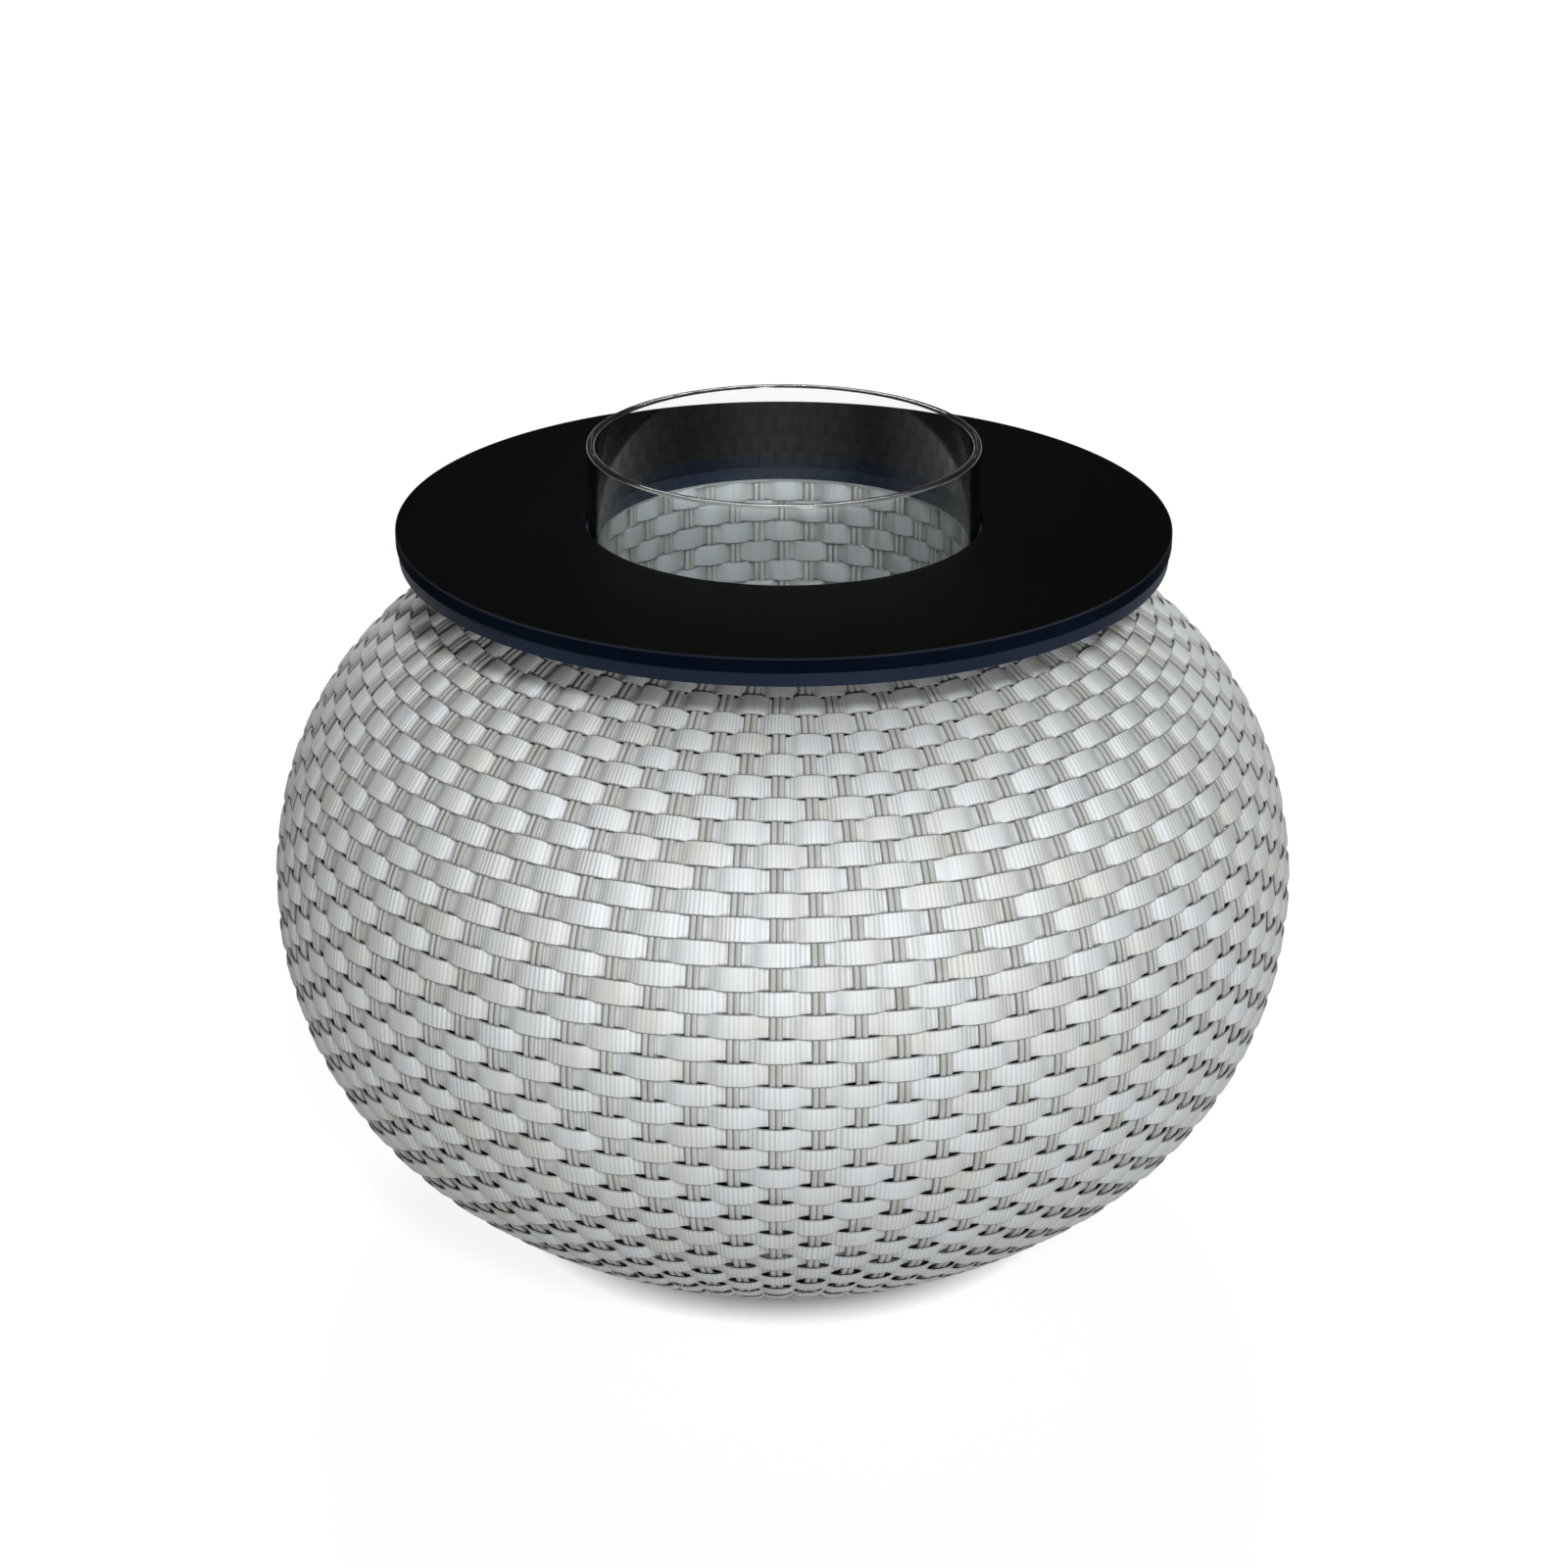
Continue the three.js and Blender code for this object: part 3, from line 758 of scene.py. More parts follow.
@dataclass(frozen=True)
class GlassFinish:
    """Clear polished glass with the slight waviness of a moulded piece. It lets lamps through."""

    tint: Colour = (0.955, 0.97, 0.972)
    shadow_tint: Colour = (0.9, 0.91, 0.92)
    gloss: float = 0.28
    wave_noise: Noise = (9.0, 1.0, 0.0)
    wave_depth: float = 0.0006
    wave_strength: float = 0.35

    def make(self) -> bpy.types.Material:
        """Returns the material."""
        constants = {
            "Base Color": (*self.tint, 1.0),
            "Transmission Weight": 1.0,
            "IOR": 1.5,
            "Roughness": 0.0,
            "Specular IOR Level": self.gloss,
        }
        finish = Finish("polished_glass", constants)
        wave = finish.noise(finish.place(), *self.wave_noise)
        finish.relief(wave, self.wave_depth, self.wave_strength)
        clear = finish.tree.nodes.new("ShaderNodeBsdfTransparent")
        clear.inputs[0].default_value = (*self.shadow_tint, 1.0)
        mix = finish.tree.nodes.new("ShaderNodeMixShader")
        finish.feed(mix.inputs[0], finish.add("ShaderNodeLightPath", None, None, "Is Shadow Ray"))
        finish.feed(mix.inputs[1], finish.shader.outputs[0])
        finish.feed(mix.inputs[2], clear.outputs[0])
        finish.feed(finish.surface, mix.outputs[0])
        return finish.material


def linked(name: str, data: bpy.types.ID) -> bpy.types.Object:
    """Returns a new object of a mesh, lamp or camera, in the scene."""
    piece = bpy.data.objects.new(name, data)
    bpy.context.scene.collection.objects.link(piece)
    return piece


def rounded(corners: Sequence[Point], radius: float, steps: int, closed: bool) -> list[Point]:
    """Rounds the corners of an outline.

    Args:
        corners: the outline's points.
        radius: the size of the rounding, limited by the sides next to a corner.
        steps: the number of short sides in each rounding.
        closed: whether the outline closes on itself.

    Returns:
        The rounded outline.
    """
    points = [np.array(corner, float) for corner in corners]
    result: list[Point] = []
    for index, corner in enumerate(points):
        if not closed and index in (0, len(points) - 1):
            result.append((corner[0], corner[1]))
            continue
        before = points[index - 1] - corner
        after = points[(index + 1) % len(points)] - corner
        before_length = np.linalg.norm(before)
        after_length = np.linalg.norm(after)
        reach = min(radius, before_length * SIDE_SHARE, after_length * SIDE_SHARE)
        start = corner + before / before_length * reach
        end = corner + after / after_length * reach
        result.append(tuple(start + (start - corner) * HOLD_SHARE))
        for step in range(steps + 1):
            t = step / steps
            bend = (1 - t) ** 2 * start + 2 * t * (1 - t) * corner + t**2 * end
            result.append((bend[0], bend[1]))
        result.append(tuple(end + (end - corner) * HOLD_SHARE))
    return result


def turned(name: str, outline: Sequence[Point], segments: int, closed: bool) -> bpy.types.Mesh:
    """Makes a solid of revolution about Z.

    Args:
        name: the mesh's name.
        outline: points of radius and height, anticlockwise as seen with the radius to the right.
        segments: the number of flat sides round the axis.
        closed: whether the outline closes on itself. If it doesn't, it starts and ends on the axis.

    Returns:
        The closed mesh.
    """
    angles = np.arange(segments) * math.tau / segments
    vertices: list[tuple[float, float, float]] = []
    rings: list[list[int]] = []
    for radius, height in outline:
        on_axis = radius < MERGE_DISTANCE
        ring = range(1) if on_axis else range(segments)
        start = len(vertices)
        vertices += [(radius * math.cos(a), radius * math.sin(a), height) for a in angles[: len(ring)]]
        rings.append([start + (0 if on_axis else side) for side in range(segments)])
    pairs = list(zip(rings, rings[1:] + rings[:1], strict=True))
    faces = []
    for lower, upper in pairs if closed else pairs[:-1]:
        for side in range(segments):
            beside = (side + 1) % segments
            face = [lower[side], lower[beside], upper[beside], upper[side]]
            faces.append(list(dict.fromkeys(face)))
    mesh = bpy.data.meshes.new(name)
    mesh.from_pydata(vertices, [], [face for face in faces if len(face) > 2])
    mesh.shade_smooth()
    mesh.set_sharp_from_angle(angle=SHARP_ANGLE)
    return mesh


def eased(
    name: str, outline: Sequence[Point], ease: float, steps: int, segments: int, closed: bool = False
) -> bpy.types.Mesh:
    """Makes a solid of revolution with eased edges, from the same values as rounded() and turned()."""
    return turned(name, rounded(outline, ease, steps, closed), segments, closed)


def bar(radius: float, low: float, high: float) -> list[Point]:
    """Returns the half outline of an upright round bar."""
    return [(0.0, low), (radius, low), (radius, high), (0.0, high)]


def band(inner: float, outer: float, low: float, high: float) -> list[Point]:
    """Returns the outline of a flat ring's section."""
    return [(inner, low), (outer, low), (outer, high), (inner, high)]


def tube(radius: float, height: float, bore: float, sides: int) -> list[Point]:
    """Returns the outline of a round bar bent to a ring."""
    angles = [math.tau * side / sides for side in range(sides)]
    return [(radius + bore * math.cos(a), height + bore * math.sin(a)) for a in angles]


@dataclass(frozen=True)
class Surface:
    """A finish, with its material slot."""

    material: bpy.types.Material
    slot: Slot


@dataclass(frozen=True)
class Circle:
    """Copies on a circle round the table's axis, the first one turned by a share of a step."""

    count: int
    radius: float
    turn_share: float = 0.0


def dress(piece: bpy.types.Object, surface: Surface, body: Body, *nodes: str) -> None:
    """Finishes a piece and ties it to the frame.

    Args:
        piece: the finished piece.
        surface: its finish and slot.
        body: the body that the piece rides on.
        nodes: the CAD nodes that the piece stands for.
    """
    if not piece.data.materials:
        piece.data.materials.append(surface.material)
    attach(piece, body.value)
    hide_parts(*nodes)
    triangles = sum(len(face.vertices) - 2 for face in piece.data.polygons)
    log.info("%s: %d triangles", piece.name, triangles)


class Workshop:
    """The surfaces and rules that the sub-assemblies share."""

    STRIP_SHADES = (
        (0.3, (0.65, 0.66, 0.61)),
        (0.44, (0.69, 0.705, 0.7)),
        (0.58, (0.72, 0.745, 0.765)),
        (0.72, (0.7, 0.71, 0.68)),
    )
    UPRIGHT_SHADES = ((0.3, (0.45, 0.45, 0.4)), (0.5, (0.57, 0.58, 0.56)), (0.7, (0.5, 0.51, 0.48)))
    NAVY_SHADES = ((0.3, (0.011, 0.017, 0.032)), (0.75, (0.016, 0.024, 0.045)))
    ALUMINIUM_SHADES = ((0.3, (0.5, 0.51, 0.52)), (0.7, (0.62, 0.63, 0.64)))
    STEEL_SHADES = ((0.3, (0.55, 0.55, 0.54)), (0.7, (0.66, 0.66, 0.65)))
    ALUMINIUM_GRAIN = 160.0
    STEEL_GRAIN = 420.0
    # The well and the ring round its mouth get darkened copies of the same materials outside: painted shade.
    LINING_PAINTED_SHADE_SHARE = 0.56
    HOLE_RING_PAINTED_SHADE_SHARE = 0.4

    def __init__(self) -> None:
        """Makes every shared surface and rule once."""
        # Darkened copies of the strips, strands and navy coat for the well and the hole's ring: painted
        # shade.
        lining_strips = self.darkened(self.STRIP_SHADES, self.LINING_PAINTED_SHADE_SHARE)
        lining_uprights = self.darkened(self.UPRIGHT_SHADES, self.LINING_PAINTED_SHADE_SHARE)
        shaded_navy_shades = self.darkened(self.NAVY_SHADES, self.HOLE_RING_PAINTED_SHADE_SHARE)
        aluminium = metal("welded_aluminium", self.ALUMINIUM_SHADES, self.ALUMINIUM_GRAIN)
        steel = metal("bright_steel", self.STEEL_SHADES, self.STEEL_GRAIN)
        self.strip = Surface(StripFinish("silver_white_strip", self.STRIP_SHADES).make(), Slot.WEAVE)
        self.lining = Surface(StripFinish("well_strip", lining_strips).make(), Slot.WEAVE)
        self.upright = Surface(UprightFinish("grey_beige_strand", self.UPRIGHT_SHADES).make(), Slot.WEAVE)
        self.lining_upright = Surface(UprightFinish("well_strand", lining_uprights).make(), Slot.WEAVE)
        self.navy = Surface(coat("navy_powder_coat", self.NAVY_SHADES), Slot.NAVY)
        self.shade_painted_navy = Surface(coat("navy_powder_coat_painted_shade", shaded_navy_shades), Slot.NAVY)
        self.aluminium = Surface(aluminium, Slot.ALUMINIUM)
        self.steel = Surface(steel, Slot.STEEL)
        self.rubber = Surface(rubber("moulded_rubber"), Slot.RUBBER)
        self.glass = Surface(GlassFinish().make(), Slot.GLASS)
        self.copies = RoundRule()

    @staticmethod
    def darkened(shades: Shades, share: float) -> Shades:
        """Returns the stops of a ramp with their colours darkened to a share of their lightness."""
        return tuple((stop, tuple(part * share for part in colour)) for stop, colour in shades)

    def repeat(
        self, name: str, mesh: bpy.types.Mesh, circle: Circle, surface: Surface, body: Body, node: str
    ) -> None:
        """Makes a piece of equal parts on a circle, for nodes with a number at the end of their name.

        Args:
            name: the piece's name.
            mesh: one part.
            circle: how many parts there are, and where.
            surface: their finish and slot.
            body: the body that they ride on.
            node: the nodes' name before the number.
        """
        values = {
            "Count": circle.count,
            "Circle radius": circle.radius,
            "Turn": math.tau * circle.turn_share / circle.count,
            "Finish": surface.material,
        }
        nodes = [f"{node}_{index + 1}" for index in range(circle.count)]
        dress(self.copies.grow(name, mesh, values), surface, body, *nodes)


@dataclass
class Weave:
    """One woven skin of flat strips round upright strands."""

    name: str
    node: str
    guide_points: list[Point]
    uprights: int
    rows: range
    row_origin: float
    turn: float
    row_pieces: int
    upright_pieces: int
    row_pitch: float = 0.01382
    strip_width: float = 0.0147
    strip_thickness: float = 0.0012
    strip_swing: float = 0.0021
    strip_wander: float = 0.003
    strip_seed: float = 11.0
    upright_width: float = 0.0076
    upright_thickness: float = 0.0022
    upright_swing: float = 0.0005
    upright_wander: float = 0.0014
    upright_seed: float = 23.0
    roundness: float = 0.65
    unevenness: float = 0.5
    steps_per_crossing: int = 8
    steps_per_row: int = 4

    STRIP_SECTION = (
        (-0.5, -0.1),
        (-0.45, -0.5),
        (0.45, -0.5),
        (0.5, -0.1),
        (0.475, 0.4),
        (0.42, 0.5),
        (-0.42, 0.5),
        (-0.475, 0.4),
    )
    UPRIGHT_SECTION = (
        (-0.44, -0.5),
        (0.44, -0.5),
        (0.5, -0.1),
        (0.45, 0.3),
        (0.27, 0.5),
        (0.1, 0.36),
        (0.0, -0.05),
        (-0.1, 0.36),
        (-0.27, 0.5),
        (-0.45, 0.3),
        (-0.5, -0.1),
    )

    def guide(self) -> bpy.types.Mesh:
        """Returns the outline as a line of edges."""
        mesh = bpy.data.meshes.new(f"{self.name}_outline")
        vertices = [(radius, 0.0, height) for radius, height in self.guide_points]
        edges = [(index, index + 1) for index in range(len(vertices) - 1)]
        mesh.from_pydata(vertices, edges, [])
        return mesh

    def outline_length(self) -> float:
        """Returns the length of the outline."""
        points = np.array(self.guide_points)
        return float(np.hypot(*np.diff(points, axis=0).T).sum())

    def grow(
        self, kind: str, rule: WeaveRule, surface: Surface, strands: Sequence[int], sizes: dict[str, object]
    ) -> None:
        """Makes one piece of the weave.

        Args:
            kind: the end of the piece's name.
            rule: the rule for this kind of strand.
            surface: the strands' finish and slot.
            strands: the first strand, and the one after the last.
            sizes: the inputs that differ from one kind of strand to the next.
        """
        first, end = (int(strand) for strand in strands)
        values = {
            "Finish": surface.material,
            "Uprights": self.uprights,
            "Copies": end - first,
            "First copy": first,
            "Row pitch": self.row_pitch,
            "Row origin": self.row_origin,
            "Upright length": self.outline_length(),
            "Roundness": self.roundness,
            "Depth": self.strip_swing + self.strip_thickness / 2,
            "Turn": self.turn,
            "Unevenness": self.unevenness,
        }
        piece = rule.grow(f"{self.name}_{kind}", self.guide(), values | sizes)
        dress(piece, surface, Body.BASE, self.node)

    def build(
        self, rows_rule: WeaveRule, uprights_rule: WeaveRule, strip: Surface, upright: Surface
    ) -> None:
        """Makes the strips and the upright strands, in a few pieces each."""
        strip_sizes = {
            "Steps": self.uprights * self.steps_per_crossing,
            "Width": self.strip_width,
            "Thickness": self.strip_thickness,
            "Swing": self.strip_swing,
            "Wander": self.strip_wander,
            "Seed": self.strip_seed,
        }
        upright_sizes = {
            "Steps": round(self.outline_length() / self.row_pitch * self.steps_per_row),
            "Width": self.upright_width,
            "Thickness": self.upright_thickness,
            "Swing": self.upright_swing,
            "Wander": self.upright_wander,
            "Seed": self.upright_seed,
        }
        bounds = np.linspace(self.rows.start, self.rows.stop, self.row_pieces + 1).astype(int)
        for number, strands in enumerate(pairwise(bounds), 1):
            self.grow(f"rows_{number}", rows_rule, strip, strands, strip_sizes)
        bounds = np.linspace(0, self.uprights, self.upright_pieces + 1).astype(int)
        for number, strands in enumerate(pairwise(bounds), 1):
            self.grow(f"uprights_{number}", uprights_rule, upright, strands, upright_sizes)

    def bind(self, rule: WeaveRule, surface: Surface, start: float, width: float, depth: float) -> None:
        """Makes the flat strand that binds an edge of the skin.

        Args:
            rule: the rule for strands that run round.
            surface: the strand's finish and slot.
            start: how far along the outline the strand begins.
            width: its width along the outline.
            depth: its thickness through the skin.
        """
        sizes = {
            "Row pitch": width,
            "Row origin": start,
            "Depth": depth / 2,
            "Steps": self.uprights * self.steps_per_crossing,
            "Width": width,
            "Thickness": depth,
            "Swing": 0.0,
            "Wander": 0.0,
            "Seed": 0.0,
        }
        self.grow("binding", rule, surface, (0, 1), sizes)


@dataclass
class WovenSkins:
    """The woven body and the woven lining of its well."""

    widest_height: float = 0.231
    well_radius: float = 0.127
    skin_thickness: float = 0.0045
    crown_width: float = 0.018
    base_ring_radius: float = 0.14
    base_flat_width: float = 0.021
    base_ring_tube: float = 0.008
    body_uprights: int = 84
    body_rows: range = range(-5, 43)
    body_row_origin: float = 0.07016
    body_turn: float = math.radians(-0.6)
    body_pieces: int = 3
    well_uprights: int = 48
    well_rows: range = range(10)
    well_row_origin: float = 0.0018
    binding_width: float = 0.0028
    outline_steps: int = 8

    UPPER_SHARES = (
        (0.985, 0.167),
        (0.918, 0.377),
        (0.796, 0.561),
        (0.623, 0.723),
        (0.413, 0.851),
        (0.196, 0.942),
    )
    LOWER_SHARES = (
        (0.979, 0.185),
        (0.914, 0.364),
        (0.809, 0.526),
        (0.67, 0.666),
        (0.5, 0.785),
        (0.31, 0.888),
        (0.124, 0.966),
    )

    def body_outline(self) -> list[Point]:
        """Returns the smooth outline of the body, from the well's mouth to the hem in the base."""
        low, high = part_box("woven_body")
        crown_inner = self.well_radius + self.skin_thickness + SEAT_GAP
        crown_outer = crown_inner + self.crown_width
        hem = self.base_ring_tube + SEAT_GAP + self.skin_thickness
        corner = hem * math.tan(math.pi / 8)
        edge = self.base_ring_radius - corner + self.base_flat_width
        ring_height = low.z + hem

        def bulge(start: float, end: float, share: Point) -> Point:
            """Returns a point of the bulge, from shares of its way out and of its way up or down."""
            out, rise = share
            return start + out * (high.x - start), self.widest_height + rise * (end - self.widest_height)

        upper = [bulge(crown_outer, high.z, share) for share in reversed(self.UPPER_SHARES)]
        lower = [bulge(edge, low.z, share) for share in self.LOWER_SHARES]
        points = [
            (crown_inner, high.z),
            (crown_outer, high.z),
            *upper,
            (high.x, self.widest_height),
            *lower,
            (edge, low.z),
            (self.base_ring_radius - corner, low.z),
            (self.base_ring_radius - hem, ring_height - corner),
            (self.base_ring_radius - hem, ring_height + corner),
        ]
        return self.smooth(points)

    def smooth(self, points: Sequence[Point]) -> list[Point]:
        """Returns a smooth line through the points."""
        anchors = np.array(points, float)
        anchors = np.vstack([2 * anchors[0] - anchors[1], anchors, 2 * anchors[-1] - anchors[-2]])
        result = []
        for before, start, end, after in zip(anchors, anchors[1:], anchors[2:], anchors[3:], strict=False):
            for t in np.arange(self.outline_steps) / self.outline_steps:
                place = 2 * start + (end - before) * t
                place = place + (2 * before - 5 * start + 4 * end - after) * t**2
                place = place + (3 * start - before - 3 * end + after) * t**3
                result.append(tuple(place / 2))
        return [*result, tuple(anchors[-2])]

    def build(self, shop: Workshop) -> None:
        """Weaves both skins."""
        rows_rule = WeaveRule(Run.ROUND, Weave.STRIP_SECTION)
        uprights_rule = WeaveRule(Run.UPRIGHT, Weave.UPRIGHT_SECTION)
        body = Weave(
            name="body_weave",
            node="woven_body",
            guide_points=self.body_outline(),
            uprights=self.body_uprights,
            rows=self.body_rows,
            row_origin=self.body_row_origin,
            turn=self.body_turn,
            row_pieces=self.body_pieces,
            upright_pieces=self.body_pieces,
        )
        body.build(rows_rule, uprights_rule, shop.strip, shop.upright)
        low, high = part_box("woven_well")
        well = Weave(
            name="well_weave",
            node="woven_well",
            guide_points=[(self.well_radius, low.z), (self.well_radius, high.z)],
            uprights=self.well_uprights,
            rows=self.well_rows,
            row_origin=self.well_row_origin,
            turn=0.0,
            row_pieces=1,
            upright_pieces=1,
        )
        well.build(rows_rule, uprights_rule, shop.lining, shop.lining_upright)
        start = high.z - low.z - self.binding_width
        well.bind(rows_rule, shop.lining, start, self.binding_width, self.skin_thickness - SEAT_GAP)


@dataclass
class LiftingTop:
    """The ring-shaped top: laminate panel, navy rings and spokes, screws and locating pins."""

    rim_radius: float = 0.24
    hole_radius: float = 0.1235
    ring_width: float = 0.026
    outer_inset: float = 0.0015
    inner_inset: float = 0.0005
    ease: float = 0.0011
    edge_band_share: float = 0.8
    segments: int = 256
    small_segments: int = 32
    pin_radius: float = 0.004
    pin_chamfer: float = 0.0015
    pin_ease: float = 0.0005
    pins: Circle = Circle(3, 0.141, 0.25)
    screws: int = 6
    screw_head: float = 0.0045
    screw_head_height: float = 0.003
    screw_crown_share: float = 0.7
    screw_crown_height: float = 0.0014
    screw_shank: float = 0.0022
    screw_ease: float = 0.0004
    socket_radius: float = 0.0016
    socket_depth: float = 0.0016

    def ring(self, name: str, inner: float, outer: float, node: str, ease: float, surface: Surface) -> None:
        """Makes a flat ring that fills a node's height, with eased edges."""
        low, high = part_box(node)
        mesh = eased(name, band(inner, outer, low.z, high.z), ease, 4, self.segments, True)
        dress(linked(name, mesh), surface, Body.TOP, node)

    def build(self, shop: Workshop) -> None:
        """Makes the panel, rings, screws and pins that lift off with the top."""
        arris_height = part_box("tabletop")[1].z - self.ease
        edge_band = self.ease * self.edge_band_share
        laminate = LaminateFinish(self.rim_radius, self.hole_radius, edge_band, arris_height).make()
        panel = Surface(laminate, Slot.LAMINATE)
        self.ring("tabletop_panel", self.hole_radius, self.rim_radius, "tabletop", self.ease, panel)
        end = self.rim_radius - self.outer_inset
        self.ring("rim_ring", end - self.ring_width, end, "top_outer_ring", self.ease / 2, shop.navy)
        start = self.hole_radius + self.inner_inset
        end = start + self.ring_width
        # The hole's ring takes the navy coat darkened as painted shade.
        self.ring("hole_ring", start, end, "top_inner_ring", self.ease / 2, shop.shade_painted_navy)
        self.fit_screws(shop)
        self.fit_pins(shop)

    def fit_screws(self, shop: Workshop) -> None:
        """Makes the pan-head screws, with a socket in each head."""
        low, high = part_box("tabletop_screw_1")
        head_top = low.z + self.screw_head_height
        outline = [
            (0.0, low.z + self.socket_depth),
            (self.socket_radius, low.z + self.socket_depth),
            (self.socket_radius, low.z),
            (self.screw_head * self.screw_crown_share, low.z),
            (self.screw_head, low.z + self.screw_crown_height),
            (self.screw_head, head_top),
            (self.screw_shank, head_top),
            (self.screw_shank, high.z),
            (0.0, high.z),
        ]
        mesh = eased("panel_screw", outline, self.screw_ease, 3, self.small_segments)
        circle = Circle(self.screws, (low.x + high.x) / 2)
        shop.repeat("panel_screws", mesh, circle, shop.steel, Body.TOP, "tabletop_screw")

    def fit_pins(self, shop: Workshop) -> None:
        """Makes the locating pins under the inner ring."""
        low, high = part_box("locating_pin_1")
        outline = [
            (0.0, low.z),
            (self.pin_radius - self.pin_chamfer, low.z),
            (self.pin_radius, low.z + self.pin_chamfer),
            (self.pin_radius, high.z),
            (0.0, high.z),
        ]
        mesh = eased("locating_pin", outline, self.pin_ease, 3, self.small_segments)
        shop.repeat("locating_pins", mesh, self.pins, shop.steel, Body.TOP, "locating_pin")


@dataclass
class GlassBucket:
    """The clear glass bucket, one moulded piece."""

    radius: float = 0.1215
    wall: float = 0.005
    base: float = 0.01
    heel_ease: float = 0.004
    rim_ease: float = 0.0018
    inner_ease: float = 0.009
    segments: int = 256

    def build(self, shop: Workshop) -> None:
        """Makes the bucket with rounded rim, heel and inner corner."""
        low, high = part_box("glass_bucket")
        inner = self.radius - self.wall
        floor = low.z + self.base
        middle = (low.z + high.z) / 2
        heel = rounded([(0.0, low.z), (self.radius, low.z), (self.radius, middle)], self.heel_ease, 8, False)
        rim_points = [(self.radius, middle), (self.radius, high.z), (inner, high.z), (inner, middle)]
        rim = rounded(rim_points, self.rim_ease, 8, False)
        inside = rounded([(inner, middle), (inner, floor), (0.0, floor)], self.inner_ease, 10, False)
        outline = heel[:-1] + rim[1:-1] + inside[1:]
        bucket = linked("bucket_glass", turned("bucket_glass", outline, self.segments, False))
        dress(bucket, shop.glass, Body.BUCKET, "glass_bucket")


@dataclass
class Frame:
    """The welded frame inside the weave, with its tray, pads, bushes and glides."""

    ring_tube: float = 0.008
    hoop_rod: float = 0.004
    tray_ring_width: float = 0.014
    tray_ring_ease: float = 0.0008
    post_radius: float = 0.006
    post_ease: float = 0.0006
    posts: Circle = Circle(6, 0.138)
    tray_radius: float = 0.1252
    drain_middle: float = 0.012
    drain_hole: float = 0.008
    drains: Circle = Circle(6, 0.062)
    glide_radius: float = 0.014
    glide_stem: float = 0.004
    glide_ease: float = 0.0015
    glides: Circle = Circle(6, 0.14, 0.25)
    pad_radius: float = 0.01
    pad_ease: float = 0.0009
    pads: Circle = Circle(4, 0.095, 0.5)
    rest_ease: float = 0.0006
    rests: Circle = Circle(3, 0.141, 0.75)
    bush_bore: float = 0.0045
    bush_sleeve: float = 0.006
    bush_flange: float = 0.008
    bush_flange_height: float = 0.0017
    bush_ease: float = 0.0005
    bushes: Circle = Circle(3, 0.141, 0.25)

    def build(self, shop: Workshop) -> None:
        """Makes the frame's bent rings, tray ring, upright bars, tray and rubber pieces."""
        for node in ("base_ring", "well_top_ring"):
            self.bent_ring(node, self.ring_tube, 20, shop)
        for node in ("shoulder_hoop", "equator_hoop", "haunch_hoop"):
            self.bent_ring(node, self.hoop_rod, 12, shop)
        self.tray_ring(shop)
        self.upright_bars(shop)
        self.tray(shop)
        self.rubbers(shop)

    def bent_ring(self, node: str, bore: float, sides: int, shop: Workshop) -> None:
        """Makes one bent ring in the place of its node."""
        low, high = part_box(node)
        outline = tube(high.x - bore, (low.z + high.z) / 2, bore, sides)
        name = f"{node}_bent"
        dress(linked(name, turned(name, outline, 192, True)), shop.aluminium, Body.BASE, node)

    def tray_ring(self, shop: Workshop) -> None:
        """Makes the flat ring that carries the tray."""
        low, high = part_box("tray_ring")
        outline = band(high.x - self.tray_ring_width, high.x, low.z, high.z)
        mesh = eased("tray_flat_ring", outline, self.tray_ring_ease, 3, 160, True)
        dress(linked("tray_flat_ring", mesh), shop.aluminium, Body.BASE, "tray_ring")

    def upright_bars(self, shop: Workshop) -> None:
        """Makes the upright bars."""
        low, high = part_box("inner_post_1")
        mesh = eased("upright_bar", bar(self.post_radius, low.z, high.z), self.post_ease, 2, 32)
        shop.repeat("upright_bars", mesh, self.posts, shop.aluminium, Body.BASE, "inner_post")

    def tray(self, shop: Workshop) -> None:
        """Makes the tray with its drain holes."""
        low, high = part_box("bucket_tray")
        values = {
            "Finish": shop.aluminium.material,
            "Plate radius": self.tray_radius,
            "Thickness": high.z - low.z,
            "Middle hole radius": self.drain_middle,
            "Hole radius": self.drain_hole,
            "Hole circle radius": self.drains.radius,
            "Holes": self.drains.count,
            "Bottom": low.z,
        }
        tray = TrayRule().grow("drain_tray", bpy.data.meshes.new("tray_guide"), values)
        dress(tray, shop.aluminium, Body.BASE, "bucket_tray")

    def rubbers(self, shop: Workshop) -> None:
        """Makes the pads, bushes and glides."""
        low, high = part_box("bucket_pad_1")
        mesh = eased("bucket_rest", bar(self.pad_radius, low.z, high.z), self.pad_ease, 3, 40)
        shop.repeat("bucket_rests", mesh, self.pads, shop.rubber, Body.BASE, "bucket_pad")

        low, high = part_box("top_pad_1")
        mesh = eased("top_rest", bar(self.bush_flange, low.z, high.z), self.rest_ease, 3, 40)
        shop.repeat("top_rests", mesh, self.rests, shop.rubber, Body.BASE, "top_pad")

        low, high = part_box("pin_bush_1")
        flange = high.z - self.bush_flange_height
        outline = [
            (self.bush_bore, low.z),
            (self.bush_sleeve, low.z),
            (self.bush_sleeve, flange),
            (self.bush_flange, flange),
            (self.bush_flange, high.z),
            (self.bush_bore, high.z),
        ]
        mesh = eased("pin_seat", outline, self.bush_ease, 3, 40, True)
        shop.repeat("pin_seats", mesh, self.bushes, shop.rubber, Body.BASE, "pin_bush")

